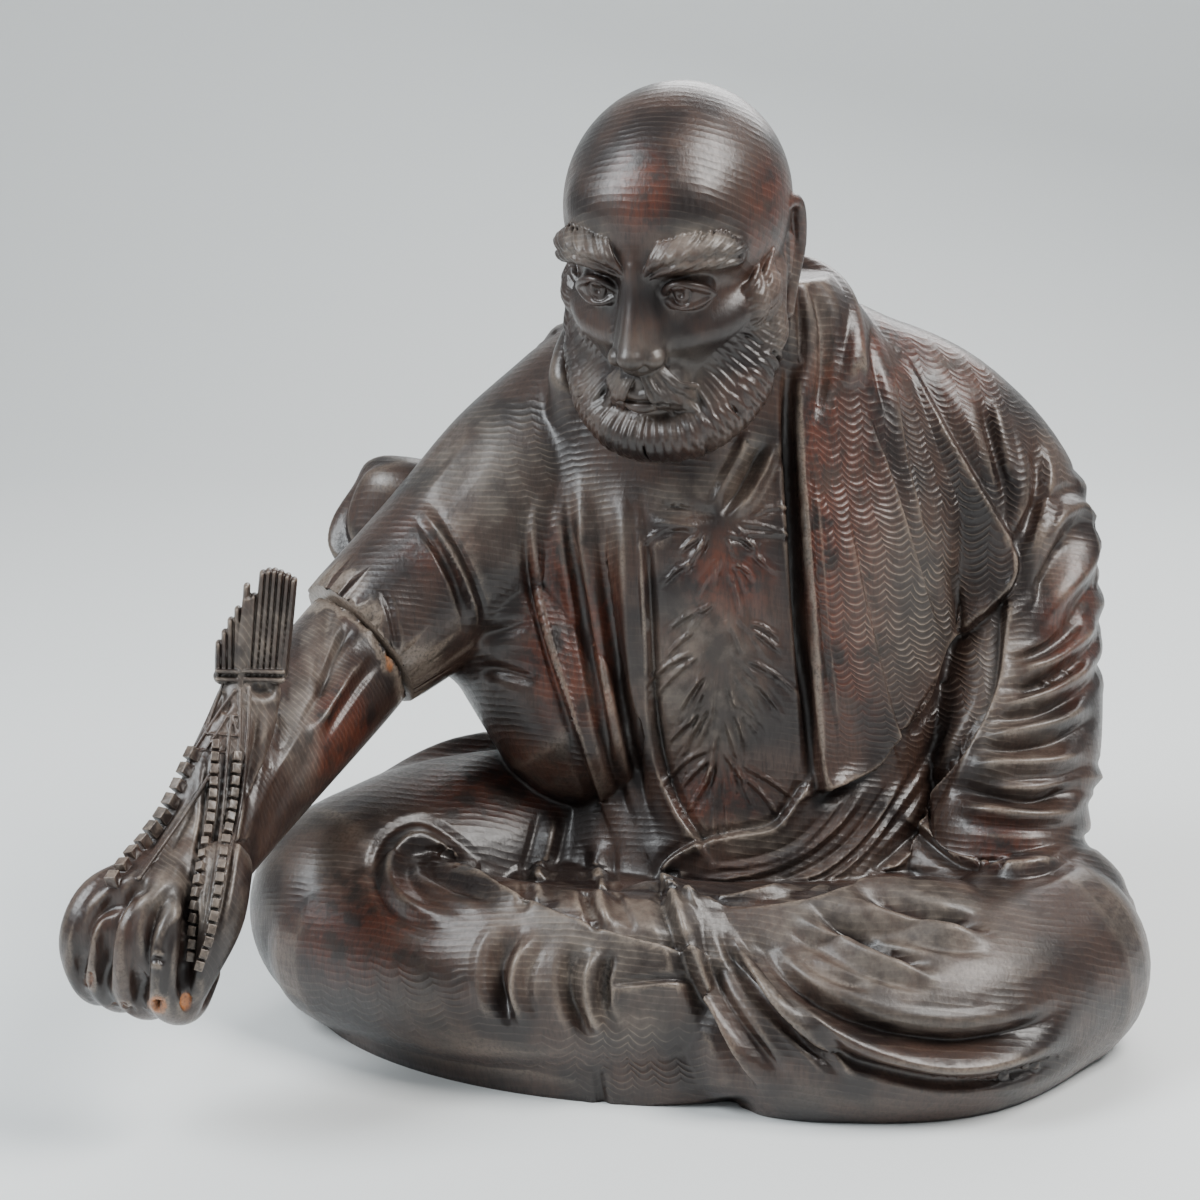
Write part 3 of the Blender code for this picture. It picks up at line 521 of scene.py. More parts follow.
def chestHair():
    # thin locks that spring from the breastbone, turn outwards and down, and fade before the robe
    strokes = []
    tufts = (  # height of the roots, reach, first and last angle below the horizontal, locks on a side
        (524, 66, -14, 66, 7),
        (560, 54, 30, 80, 3),
        (606, 66, 22, 70, 4),
        (650, 84, 30, 82, 6),
        (700, 78, 40, 84, 5),
        (752, 74, 34, 86, 6),
    )
    for height, reach, first, last, count in tufts:
        for sign in (-1, 1):
            for n in range(count):
                angle = math.radians(first + (last - first) * (n + random.uniform(-0.3, 0.3)) / (count - 1))
                far = reach * random.uniform(0.6, 1.1)
                ray = np.array([sign * math.cos(angle), math.sin(angle)])
                root = np.array([720 + sign * random.uniform(0, 7), height + random.uniform(-12, 12)])
                root = root + ray * random.uniform(2, 22)
                bend = np.array([sign * random.uniform(-0.02, 0.05), random.uniform(0.04, 0.16)]) * far
                drawn = (root, root + ray * far * 0.5 - bend * 0.4, root + ray * far * 0.9 + bend)
                deep = body["chestHair"] * random.uniform(0.6, 1.1)
                strokes.append((crease, 0.3, deep, both, drawn))
                strokes.append((nick, 0.34, deep * 0.4, both, [p + np.array([-sign * 3, 4]) for p in drawn]))
    return strokes


def buildBody():
    bm = bmesh.new()
    for add in (addTrunk, addRobe, addLegs, addArms):
        add(bm)
    thing = fuse(asThing("body", bm), body["grain"], body["smoothing"])
    front = chestStrokes + sashStrokes + sleeveStrokes + lapStrokes
    carve(thing, [s for s in front if s[1] >= body["fineStroke"]])
    carve(thing, leftStrokes, math.radians(90))
    carve(thing, backStrokes, math.radians(180))
    carve(thing, rightStrokes, math.radians(270))
    soften(thing, body["softening"])
    carve(thing, [s for s in front if s[1] < body["fineStroke"]] + chestHair())
    soften(thing, 1)
    return thinTo(thing, body["triangles"])


# The head, in a frame of its own: eyes on Z = 0, the face towards -Y
head = {
    "place": Vector((-2.7, -13.5, 75.4)),
    "turn": Euler((math.radians(14), 0, math.radians(-22)), "XYZ"),  # bowed, and turned to its right
    "skullGrain": 0.4,
    "skullSmoothing": 12,
    "faceSmoothing": 5,
    "grain": 0.1,
    "smoothing": 2,
    "strand": 0.27,  # half the width of a strand of hair
    "hairAxis": -2.0,  # strands are laid round an upright axis at this Y
    "triangles": 92000,
}


def onSide(sign, *stations):
    return tuple((sign * x, *rest) for x, *rest in stations)


def addSkull(bm):
    ball(bm, (0, 0.8, 4.5), (10.4, 12, 11), finer=4)
    ball(bm, (0, -4.4, 6.0), (8.6, 6.7, 6.8), finer=4)
    ball(bm, (0, -2.6, -3.5), (8.6, 8.4, 8.6), finer=4)
    ball(bm, (0, -3.4, -8.8), (7.2, 6.8, 5.8), finer=4)
    ball(bm, (0, -8.9, -12.2), (3.0, 2.5, 2.3))
    ball(bm, (0, -9.6, -8.9), (3.8, 2.5, 2.9))
    ball(bm, (0, -9.2, -14.6), (2.4, 2.0, 2.6))
    limb(bm, ((0, 2, -3, 7.2), (0, 2.5, -8, 6.6)))  # the nape
    limb(bm, ((0, -9.8, 3.6, 1.8), (0, -10.4, 0, 1.8), (0, -10.9, -2.8, 2.3), (0, -11.4, -5.0, 2.6)),
         sides=16)
    for sign in (1, -1):
        limb(bm, onSide(sign, (1.5, -9.6, 2.8, 1.5), (4.6, -9.3, 3.4, 1.6), (7.8, -6.6, 2.6, 1.3)), sides=14)
        limb(bm, onSide(sign, (3.2, -8.6, -4.4, 2.1), (5.8, -6.8, -3.8, 2.2), (7.9, -3.4, -2.4, 2.0),
                        (8.8, 0.5, -1.4, 1.6)))
        beard = onSide(sign, (8.4, 0, -2.0, 2.0), (7.8, -2.4, -7.0, 2.6), (5.8, -5.8, -11.4, 3.0),
                       (2.6, -8.6, -13.6, 2.9), (-0.5, -9.2, -14.0, 2.8))
        limb(bm, beard, sides=18)


def addNoseAndLips(bm):
    limb(bm, ((0, -10.9, 2.6, 1.0), (0, -11.4, 0, 1.05), (0, -12.4, -2.6, 1.2), (0, -13.0, -4.4, 1.45)),
         sides=16)
    ball(bm, (0, -13.7, -5.0), (1.35, 1.3, 1.15))
    upper = ((-2.6, -11.5, -9.4, 0.3), (-1.0, -12.4, -8.95, 0.5), (0, -12.5, -9.15, 0.45),
             (1.0, -12.4, -8.95, 0.5), (2.6, -11.5, -9.4, 0.3))
    lower = ((-2.3, -11.5, -9.95, 0.35), (0, -12.4, -10.25, 0.66), (2.3, -11.5, -9.95, 0.35))
    limb(bm, upper, sides=12)
    limb(bm, lower, sides=12)
    limb(bm, ((0, -11.5, -6.2, 1.0), (0, -11.7, -8.2, 0.95)))  # between the nose and the lips


def addSideOfFace(bm, sign):
    def put(x, y, z):
        return (sign * x, y, z)

    ball(bm, put(4.15, -8.45, 0.0), (2.2, 2.15, 2.05), finer=4)  # the eyeball
    # the pad that carries the brow
    limb(bm, onSide(sign, (1.4, -10.6, 2.9, 0.7), (3.6, -10.6, 3.8, 1.0), (6.2, -9.0, 4.1, 1.0),
                    (8.3, -6.4, 3.3, 0.8)))
    limb(bm, onSide(sign, (2.0, -10.1, -0.3, 0.3), (3.1, -10.7, 0.8, 0.42), (4.4, -10.65, 1.1, 0.46),
                    (5.7, -9.9, 0.6, 0.42), (6.6, -8.9, -0.3, 0.3)), sides=12)
    limb(bm, onSide(sign, (2.0, -10.1, -0.35, 0.28), (3.2, -10.4, -1.05, 0.33), (4.5, -10.35, -1.2, 0.35),
                    (5.7, -9.7, -0.85, 0.33), (6.6, -8.9, -0.4, 0.25)), sides=12)
    ball(bm, put(1.75, -12.3, -5.4), (1.0, 1.4, 0.95))  # the wing of the nose
    rim = onSide(sign, (9.0, 0.8, -1.6, 0.6), (9.2, 0.7, 2.2, 0.65), (9.7, 2.3, 4.2, 0.75),
                 (10.2, 4.4, 3.4, 0.75), (10.0, 5.0, -0.4, 0.7), (9.4, 3.7, -4.0, 0.75),
                 (9.0, 2.5, -6.4, 0.95))
    limb(bm, rim, sides=12)
    limb(bm, onSide(sign, (9.4, 2.2, 1.9, 0.45), (9.6, 3.6, 0.4, 0.5), (9.3, 3.1, -2.6, 0.5)), sides=10)
    ball(bm, put(8.7, 2.9, 0.2), (1.1, 2.7, 4.8))
    ball(bm, put(8.2, 2.6, 1.0), (1.6, 2.0, 3.4))


class HairBed:
    # a skin on which strands are laid by (angle round the head, height, lift, half width)
    def __init__(self, thing):
        self.tree = skinTree(thing.data)

    def point(self, angle, height, lift):
        turn = math.radians(angle)
        outward = Vector((math.sin(turn), -math.cos(turn), 0))
        axis = Vector((0, head["hairAxis"], height))
        place = self.tree.ray_cast(axis + outward * 30, -outward)[0]
        return (place if place else axis + outward * 6) + outward * lift

    def strand(self, bm, stations, sign):
        path = [(*self.point(sign * angle, height, lift), wide) for angle, height, lift, wide in stations]
        limb(bm, path, reference=(0.3, 0.2, 1), steps=4, sides=7)


def comb(bed, bm, sign, roots, tips, count, wide, rise, curl, spread=0.2):
    # strands from a row of roots to a row of tips: rows are (angle, height) pairs, read evenly along them
    rootRow, tipRow = spline([(*r, 0) for r in roots], 12), spline([(*t, 0) for t in tips], 12)
    for n in range(count):
        share = (n + 0.5) / count
        a = rootRow[int(share * (len(rootRow) - 1))]
        b = tipRow[int(share * (len(tipRow) - 1))]
        jitter = random.uniform(-spread, spread)
        bend = curl + jitter
        near, far = a * 0.6 + b * 0.4, a * 0.25 + b * 0.75
        lift = rise * (1 if n % 2 else 0.75)
        stations = (
            (a[0], a[1], -0.1, wide * 0.7),
            (near[0] + bend * 2, near[1] + bend, lift, wide * 1.1),
            (far[0] + bend * 1.5, far[1] + bend * 0.8, lift * 0.85, wide),
            (b[0] + jitter * 3, b[1] + jitter, lift * 0.3, wide * 0.45),
        )
        bed.strand(bm, stations, sign)


def addHair(bed, bm, sign):
    wide = head["strand"]
    # bushy brows, combed out and up from the root of the nose
    comb(bed, bm, sign, ((5, 1.9), (14, 2.5), (28, 2.8), (44, 2.5)),
         ((14, 5.0), (34, 5.6), (54, 5.0), (66, 2.9)), 17, wide * 0.95, 0.5, 0.25, 0.08)
    comb(bed, bm, sign, ((7, 1.6), (24, 2.2), (42, 2.1)),
         ((26, 3.6), (48, 3.6), (62, 2.0)), 11, wide * 0.9, 0.75, 0.2, 0.08)
    # the moustache falls to both sides of the lips
    for layer in range(4):
        comb(bed, bm, sign, ((2 + layer, -7.1 - 0.3 * layer), (13, -6.7 - 0.4 * layer)),
             ((17 + 4 * layer, -11.6), (36, -9.2 - layer)), 8, wide, 0.5 - 0.1 * layer, -0.3)
    # sideburns, in short tufts combed back to the ear
    for row in range(12):  # from the top one down
        height = 0.4 - row * 0.62
        comb(bed, bm, sign, ((65, height - 1.8), (67, height - 1.3)),
             ((79, height - 0.2), (81, height + 0.3)), 2, wide * 1.15, 0.4, -0.3, 0.1)
        comb(bed, bm, sign, ((73, height - 1.9), (75, height - 1.4)),
             ((92, height + 0.6), (93, height + 1.0)), 2, wide * 1.15, 0.45, -0.4, 0.1)
    # the beard, in rows from the cheek to below the jaw
    comb(bed, bm, sign, ((66, -4.0), (50, -5.6), (36, -7.6), (28, -9.2)),
         ((84, -7.0), (68, -9.6), (52, -11.8), (38, -13.4)), 22, wide * 1.1, 0.45, 0.5)
    comb(bed, bm, sign, ((68, -6.2), (50, -8.4), (34, -10.4), (22, -11.4)),
         ((84, -9.6), (66, -12.4), (48, -14.6), (32, -15.6)), 23, wide * 1.15, 0.55, 0.5)
    comb(bed, bm, sign, ((66, -9.0), (48, -11.4), (30, -13.2), (1, -13.6)),
         ((78, -12.4), (58, -15.2), (36, -16.8), (1, -17.4)), 27, wide * 1.15, 0.45, 0.5)
    comb(bed, bm, sign, ((24, -10.9), (12, -11.5), (0, -11.7)),
         ((32, -15.4), (16, -16.2), (1, -16.4)), 12, wide * 1.1, 0.7, 0.3)


def engrave(thing):  # the irises and nostrils, and the line between the lips
    points, normals = vertexArrays(thing.data)
    x, y, z = points.T
    lift = np.zeros(len(points))
    front = y < -8
    for sign in (1, -1):
        away = np.hypot(x - sign * 4.0, z - 0.05)
        lift -= front * (0.16 * np.exp(-(((away - 0.92) / 0.13) ** 2)) + 0.3 * swell(1 - away / 0.5))
        nostril = np.sqrt((x - sign * 0.85) ** 2 + (y + 13.2) ** 2 + ((z + 6.0) * 1.5) ** 2)
        lift -= 0.45 * swell(1 - nostril / 0.75)
    line = np.abs(z + 9.62 + 0.05 * x * x) / 0.22
    lift -= (front & (np.abs(x) < 2.6)) * 0.3 * swell(1 - line)
    putBack(thing.data, points + normals * lift[:, None])


def buildHead():
    bm = bmesh.new()
    addSkull(bm)
    skull = fuse(asThing("skull", bm), head["skullGrain"], head["skullSmoothing"])
    bm = bmesh.new()
    bm.from_mesh(skull.data)
    bpy.data.objects.remove(skull)
    addNoseAndLips(bm)
    for sign in (1, -1):
        addSideOfFace(bm, sign)
    bare = fuse(asThing("bareHead", bm), head["grain"] * 1.5, head["faceSmoothing"])
    bed = HairBed(bare)
    bm = bmesh.new()
    for sign in (1, -1):
        addHair(bed, bm, sign)
    bm.from_mesh(bare.data)
    bpy.data.objects.remove(bare)
    thing = fuse(asThing("head", bm), head["grain"], head["smoothing"])
    engrave(thing)
    thing.data.transform(Matrix.Translation(head["place"]) @ head["turn"].to_matrix().to_4x4())
    return thing


# The forearm, set into the sleeve on a plane across the upper arm
forearm = {
    "bareGrain": 0.25,  # of the arm and fist while the wide strokes are carved
    "bareSmoothing": 5,
    "fineStroke": 0.65,  # strokes no wider than this are carved at the finer grain
    "grain": 0.13,
    "reliefGrain": 0.07,  # of the beads, cords and tassel
    "triangles": 96000,
    "reliefTriangles": 92000,
    "jointCentre": Vector((-33.2, -9.8, 36.8)),
    "jointOutward": Vector((-0.69, -0.49, -0.53)).normalized(),
    "jointReach": 13.0,  # how far from its centre the plane cuts the sleeve
    "jointGap": 0.0003,  # metres between the two pieces
    "crackDepth": 0.55,  # how far the joint's rims are worn and chipped back
    "rimWidth": 1.6,  # how wide a band is worn
    "rimReach": 11.0,
}
# the fist has a frame of its own, from the little finger across to the first one
fist = {
    "centre": Vector((-49.6, -43.5, 19.6)),
    "front": Vector((-0.36, -0.87, -0.34)).normalized(),
    "fingers": ((-4.9, 1.6), (-2.7, 1.9), (0.0, 2.15), (3.1, 2.15)),  # place across, radius
}
fist["across"] = Vector((0, 0, 1)).cross(fist["front"]).normalized()
fist["up"] = fist["front"].cross(fist["across"])
# places along the strings and the tassel are pixels of the front drawing
beads = {
    "pitch": 12.4,  # from one bead to the next on the two front strings
    "size": (0.36, 0.42, 0.45),  # half across, half along, half thick
    "edgePitch": 16.6,  # on the string along the outline
    "edgeSize": (0.52, 0.56, 0.6),
    "proud": 0.3,  # how far the middle of a bead stands off the skin
    "left": ((216, 746), (212, 800), (206, 850), (200, 893), (195, 930), (189, 966)),
    "right": ((236, 757), (231, 800), (226, 840), (220, 880), (214, 915), (206, 946), (198, 968)),
    "outline": ((195, 756), (170, 795), (142, 843), (113, 884)),
}
tassel = {
    "depth": -29.4,  # the strands stand at this Y
    "foot": 668,
    # where each strand starts, and its tip: the first ones are broken short
    "strands": ((219, 219, 643), (225, 225, 632), (231, 231, 620), (237, 238, 609), (243, 247, 586),
                (249, 254, 596), (255, 263, 573), (261, 269, 571), (267, 275, 571), (273, 281, 573),
                (279, 288, 576), (284, 294, 580)),
    "halfWidth": 0.37,  # of the slab behind a strand
    "halfDepth": 0.8,
    "ridge": 0.21,  # radius of the strand's rounded face
}


def fromPicture(across, down, depth):  # the place at Y = depth that the front drawing shows at these pixels
    sine, cosine = math.sin(drawing["rise"]), math.cos(drawing["rise"])
    scale = drawing["pixelsPerSquare"] * drawing["distance"]
    half = drawing["side"] / 2
    slope = (half - down) / scale
    rise = (slope * (drawing["distance"] + depth * cosine) - depth * sine) / (cosine + slope * sine)
    away = drawing["distance"] + depth * cosine - rise * sine
    x, y, z = drawing["aim"]
    return Vector((x + (across - half) / scale * away, depth, z + rise))


def onSkin(tree, across, down, depth):
    # where the line of sight meets the skin, or the skin's nearest place to this depth
    rise = drawing["rise"]
    eye = Vector(drawing["aim"]) + Vector((0, -math.cos(rise), math.sin(rise))) * drawing["distance"]
    guess = fromPicture(across, down, depth)
    place, normal, _, _ = tree.ray_cast(eye, (guess - eye).normalized())
    if place is None or (place - guess).length > 4:
        place, normal, _, _ = tree.find_nearest(guess)
    return place, normal


def onFist(across, front, up, radius):
    return (*(fist["centre"] + fist["across"] * across + fist["front"] * front + fist["up"] * up), radius)


def addFist(bm):
    palm = (onFist(0.4, -6, 2.2, 4), onFist(0, -2.5, 1.6, 4.2), onFist(-0.8, 0.4, -0.4, 4.4))
    limb(bm, palm, reference=(0, 1, 0))
    for place, radius in fist["fingers"]:
        finger = (onFist(place * 0.35 + 0.4, -4.6, 4.2, radius * 0.7),
                  onFist(place * 0.8, -0.4, 3.9, radius * 0.95),
                  onFist(place, 2.55, 1.2, radius), onFist(place, 2.75, -3.2, radius),
                  onFist(place, 0.9, -5.9, radius * 0.95), onFist(place, -2.2, -5.2, radius * 0.9))
        limb(bm, finger, reference=tuple(fist["across"]), steps=6)
    thumb = (onFist(5.2, -6.5, 3.2, 2.6), onFist(6.1, -2.4, 1.2, 2.5), onFist(5.0, 0.8, -2.2, 2.0),
             onFist(4.1, 1.8, -5, 1.4))
    limb(bm, thumb, reference=tuple(fist["across"]), steps=6)


def addArmMass(bm):
    arm = ((-29, -6, 41, 6.2), (-34.6, -12, 35.2, 6.4), (-41.5, -24.5, 28.8, 5.8), (-45.8, -35, 23.4, 4.3))
    limb(bm, arm, reference=(0, 1, 0), sides=40)
    # the taut strings stand on the arm as a flat blade
    blade = ((-47.2, -41.5, 23.4, 3.9, 1.6), (-45.6, -38.4, 26.4, 3.6, 1.7), (-44.2, -34.6, 30.4, 3.1, 1.6),
             (-42.2, -31.6, 34.7, 3.0, 1.4), (-41.1, -29.6, 38.4, 2.6, 1.2))
    limb(bm, blade, reference=(0, 1, 0), sides=20)
    limb(bm, ((-46, -37, 23, 4.2), (-44, -31, 28, 4.2), (-41.5, -26, 32, 3.4)), reference=(0, 1, 0))


def addTassel(bm):
    level = {"reference": (0, 1, 0), "steps": 4, "sides": 12}
    depth, foot, wide, deep = tassel["depth"], tassel["foot"], tassel["halfWidth"], tassel["halfDepth"]
    ridge = tassel["ridge"]
    for below, tip, top in tassel["strands"]:
        a, b = fromPicture(below, foot + 6, depth), fromPicture(tip, top, depth)
        limb(bm, ((*a, wide, deep), (*a.lerp(b, 0.5), wide, deep), (*b, wide * 0.85, deep * 0.9)), **level)
        for face in (-1, 1):
            off = Vector((0, face * deep, 0))
            limb(bm, ((*(a + off), ridge), (*(b + off * 0.9), ridge * 0.8)), **level)
    knot = ((*fromPicture(222, 676, depth), 0.8, 0.9), (*fromPicture(277, 676, depth), 0.8, 0.9))
    limb(bm, knot, **level)
    # a flat pillar parts the strands, and two rails of cord stand out on each side of it
    pillar = ((*fromPicture(247, 600, depth - 0.7), 0.42, 0.3),
              (*fromPicture(243, 650, depth - 0.8), 0.5, 0.4),
              (*fromPicture(241, 690, depth - 1.0), 0.42, 0.6))
    limb(bm, pillar, **level)
    for height in (671, 679):
        for first, last in ((217, 240), (243, 283)):
            a, b = fromPicture(first, height, depth - 1.15), fromPicture(last, height + 1, depth - 1.15)
            limb(bm, ((*a, 0.2, 0.3), (*b, 0.2, 0.3)), **level)


def evened(places):  # the same places with their jumps along the string taken out
    rows = []
    for n in range(len(places)):
        near = places[max(n - 1, 0) : n + 2]
        place = sum((p for p, _ in near), Vector()) / len(near)
        normal = sum((q for _, q in near), Vector()).normalized()
        rows.append((place if 0 < n < len(places) - 1 else places[n][0], normal))
    return rows


def addString(bm, tree, drawn, pitch, size, depths):
    rows = spline([(*p, 0) for p in drawn], 30)[:, :2]
    passed = np.concatenate([[0], np.cumsum(np.linalg.norm(np.diff(rows, axis=0), axis=1))])
    count = int(passed[-1] // pitch) + 1
    spots = [[np.interp(n * pitch, passed, rows[:, k]) for k in (0, 1)] for n in range(count)]
    places = [onSkin(tree, *spot, np.interp(n, (0, count - 1), depths)) for n, spot in enumerate(spots)]
    places = evened(evened(places))
    for n, (place, normal) in enumerate(places):
        ahead = places[min(n + 1, count - 1)][0] - places[max(n - 1, 0)][0]
        across = ahead.cross(normal).normalized()
        along = normal.cross(across)
        half = Vector(size) * random.uniform(0.94, 1.05)
        turn = Matrix((across * half.x * 2, along * half.y * 2, normal * half.z * 2)).transposed().to_4x4()
        turn.translation = place + normal * beads["proud"]
        form = bmesh.new()
        bmesh.ops.create_cube(form, size=1, matrix=turn)
        pour(bm, form)


def addCord(bm, tree, drawn, wide, depths):
    spots = spline([(*p, 0) for p in drawn], 3)[:, :2]
    places = [onSkin(tree, *spot, np.interp(n, (0, len(spots) - 1), depths)) for n, spot in enumerate(spots)]
    path = [(*(place + normal * wide * 0.5), wide) for place, normal in evened(evened(places))]
    limb(bm, path, reference=(0, 1, 0), steps=3, sides=8)


cords = (  # pixels of the front drawing, radius, Y of the first and last place
    # the rails of the lacing, below the knot, and their rungs
    (((235, 691), (222, 709), (208, 730), (197, 748), (187, 766)), 0.17, (-30, -35)),
    (((240, 690), (240, 712), (240, 735), (239, 752)), 0.15, (-30, -34)),
    (((232, 716), (229, 735), (227, 757), (223, 800), (219, 850), (213, 893), (206, 935), (198, 966)), 0.17,
     (-31, -46)),
    (((249, 688), (249, 715), (247, 740), (242, 790), (237, 822), (230, 852), (224, 880), (218, 910)), 0.2,
     (-30, -43)),
    (((215, 684), (209, 705), (203, 726), (196, 748)), 0.18, (-30, -34)),
    (((218, 715), (239, 716)), 0.13, (-31, -31)),
    (((208, 734), (239, 736)), 0.13, (-33, -33)),
    (((199, 750), (227, 753)), 0.13, (-34, -34)),
    (((227, 717), (217, 734)), 0.12, (-31, -33)),
    (((233, 717), (237, 735)), 0.12, (-31, -33)),
    (((215, 736), (206, 750)), 0.12, (-33, -34)),
    (((213, 690), (207, 712), (198, 740), (188, 764)), 0.2, (-30, -34)),
    # the crest from the strings' fork to the wrist
    (((214, 769), (190, 806), (163, 845), (139, 879)), 0.22, (-36, -43)),
)
forearmStrokes = (
    # hollows under the knot and between the cords
    (cut, 0.7, 0.5, both, ((222, 688), (218, 704), (211, 722))),
    (cut, 0.9, 0.7, both, ((250, 684), (262, 690), (274, 684))),
    (cut, 0.5, 0.45, both, ((231, 700), (222, 714))),
    (cut, 0.6, 0.5, both, ((258, 700), (256, 740), (250, 780), (244, 812))),
    (cut, 0.45, 0.35, both, ((223, 745), (219, 800), (213, 850), (207, 893), (200, 935), (194, 962))),
    (cut, 0.45, 0.4, both, ((208, 745), (205, 800), (199, 850), (193, 893), (189, 930))),
    (cut, 0.45, 0.4, both, ((243, 757), (238, 800), (233, 840), (227, 880), (220, 915), (211, 946))),
    (cut, 1.0, 0.5, both, ((196, 800), (180, 832), (165, 862))),
    (cut, 0.7, 0.5, both, ((186, 790), (165, 822), (140, 860))),
    # the arm's tendons
    (cut, 1.0, 0.9, both, ((354, 620), (337, 652), (318, 702))),
    (fold, 1.0, 0.7, both, ((373, 647), (350, 675), (329, 706), (308, 742))),
    (crease, 1.5, 0.45, both, ((316, 706), (290, 748), (264, 790), (243, 835), (228, 880))),
    (cut, 0.8, 0.4, both, ((332, 600), (325, 640), (312, 690))),
    # the fingers spring from the wrist like petals
    (cut, 0.9, 1.0, both, ((150, 880), (123, 893), (100, 912), (87, 933), (81, 968), (82, 1000))),
    (cut, 1.0, 1.3, both, ((162, 881), (132, 893), (114, 914), (106, 940), (103, 974), (104, 1015))),
    (cut, 1.1, 1.3, both, ((181, 880), (164, 901), (150, 924), (143, 950), (140, 985), (139, 1028))),
    (cut, 1.0, 1.1, both, ((184, 884), (190, 910), (189, 942), (186, 975), (183, 1010))),
    (cut, 0.5, 0.35, both, ((150, 958), (166, 962))),
    (cut, 0.6, 0.5, both, ((119, 1008), (128, 1012), (137, 1009))),
)
chips = (  # pixels of the front drawing, half sizes in pixels, depth, how much fresh wood shows
    ((157, 1005), (5, 5), 1.3, 0.0),
    ((186, 1002), (5.5, 9.5), 0.3, 1.0),
    ((89, 980), (6, 8), 0.35, 0.3),
    ((119, 1006), (9, 4), 0.3, 0.25),
    ((391, 660), (4, 12), 0.1, 0.55),
)
rings = (((157, 1005), (11, 9.5), 0.9),)  # worn fresh wood round the hole in the fingertip


def chipOut(thing):  # bores the hole in the fingertip and breaks the chips
    points, normals, spots, shown = viewed(thing)
    lift = np.zeros(len(points))
    fresh = np.zeros(len(points))
    for spot, sizes, bright in rings:
        fresh = np.maximum(fresh, bright * shown * swell(4 * (1 - inOval(spots, spot, sizes))))
    for spot, sizes, deep, bright in chips:
        inside = shown * swell(3 * (1.1 - inOval(spots, spot, sizes)))
        lift -= deep * inside
        if bright:
            fresh = np.maximum(fresh, bright * inside)
        else:  # the hole takes no fresh wood inside and stays dark: painted shade in the hole
            fresh = np.where(inside > 0.3, fresh * (1 - inside), fresh)
    putBack(thing.data, points + normals * lift[:, None])
    keepLayer(thing, "fresh", fresh)


def buildForearm():
    bm = bmesh.new()
    addArmMass(bm)
    addFist(bm)
    bare = fuse(asThing("bareForearm", bm), forearm["bareGrain"], forearm["bareSmoothing"])
    carve(bare, [s for s in forearmStrokes if s[1] > forearm["fineStroke"]])
    tree = skinTree(bare.data)
    thing = fuse(bare, forearm["grain"], 2)
    carve(thing, [s for s in forearmStrokes if s[1] <= forearm["fineStroke"]])
    thinTo(thing, forearm["triangles"])
    bm = bmesh.new()
    addTassel(bm)
    for cord in cords:
        addCord(bm, tree, *cord)
    for side in ("left", "right"):
        addString(bm, tree, beads[side], beads["pitch"], beads["size"], (-34, -47))
    addString(bm, tree, beads["outline"], beads["edgePitch"], beads["edgeSize"], (-35, -42.5))
    relief = fuse(asThing("relief", bm), forearm["reliefGrain"], 1)
    join(thing, thinTo(relief, forearm["reliefTriangles"]))
    chipOut(thing)
    return thing


# Joining, cutting and measuring the carved skin
def join(thing, other):  # one solid of two
    union = thing.modifiers.new("Join", "BOOLEAN")
    union.operation = "UNION"
    union.solver = "MANIFOLD"
    union.object = other
    settle(thing)
    bpy.data.objects.remove(other)


def sliceOff(thing, point, outward, reach=math.inf):
    # what lies outward of the plane goes, and the cut is closed
    bm = bmesh.new()
    bm.from_mesh(thing.data)
    faces = [f for f in bm.faces if (f.calc_center_median() - point).length < reach]
    edges = {e for f in faces for e in f.edges}
    verts = {v for f in faces for v in f.verts}
    near = [*verts, *edges, *faces]
    bmesh.ops.bisect_plane(bm, geom=near, dist=1e-4, plane_co=point, plane_no=outward, clear_outer=True)
    bmesh.ops.holes_fill(bm, edges=[e for e in bm.edges if e.is_boundary], sides=0)
    bmesh.ops.triangulate(bm, faces=[f for f in bm.faces if len(f.verts) > 4])
    bm.to_mesh(thing.data)
    bm.free()


def markRelief(thing, passes):
    # how far each point stands proud of the skin round it, near and far, as a share of what is usual there
    mesh = thing.data
    points, normals = vertexArrays(mesh)
    ends = np.empty(len(mesh.edges) * 2, int)
    mesh.edges.foreach_get("vertices", ends)
    a, b = ends.reshape(-1, 2).T
    size = len(points)
    count = np.bincount(np.concatenate([a, b]), minlength=size)[:, None]
    soft = points
    done = 0
    for name, number, usual in passes:
        for _ in range(number - done):
            total = np.empty_like(soft)
            for k in range(3):
                total[:, k] = np.bincount(a, soft[b, k], size) + np.bincount(b, soft[a, k], size)
            soft = total / np.maximum(count, 1)
        done = number
        keepLayer(thing, name, ((points - soft) * normals).sum(axis=1) / usual)


def patches(thing, ovals):  # from 0 to 1, how strongly the soft ovals cover each point
    points, _, spots, shown = viewed(thing)
    total = np.zeros(len(points))
    for middle, sizes, strength in ovals:
        total = np.maximum(total, shown * strength * swell(1.5 * (1 - inOval(spots, middle, sizes))))
    return total


def wearRim(thing, point, outward):  # chips and rounds the skin beside the joint
    points, normals = vertexArrays(thing.data)
    depth = -(points - np.array(point)) @ np.array(outward)
    away = np.linalg.norm(points - np.array(point), axis=1)
    wide = forearm["rimWidth"]
    near = np.flatnonzero((depth < wide) & (depth > -0.5) & (away < forearm["rimReach"]))
    for n in near:
        place = Vector(points[n])
        rough = 0.5 + 0.7 * noise.noise(place * 0.55) + 0.35 * noise.noise(place * 1.7)
        points[n] -= normals[n] * forearm["crackDepth"] * max(rough,
                                                              0.1) * (1 - max(depth[n], 0) / wide) ** 2
    putBack(thing.data, points)


# rounds of averaging over which each piece's relief is measured, and the relief that is usual there
reliefs = {
    "figure": (("nearRelief", 5, 0.25), ("farRelief", 50, 0.6)),
    "forearm": (("nearRelief", 10, 0.1), ("farRelief", 90, 0.3)),
}
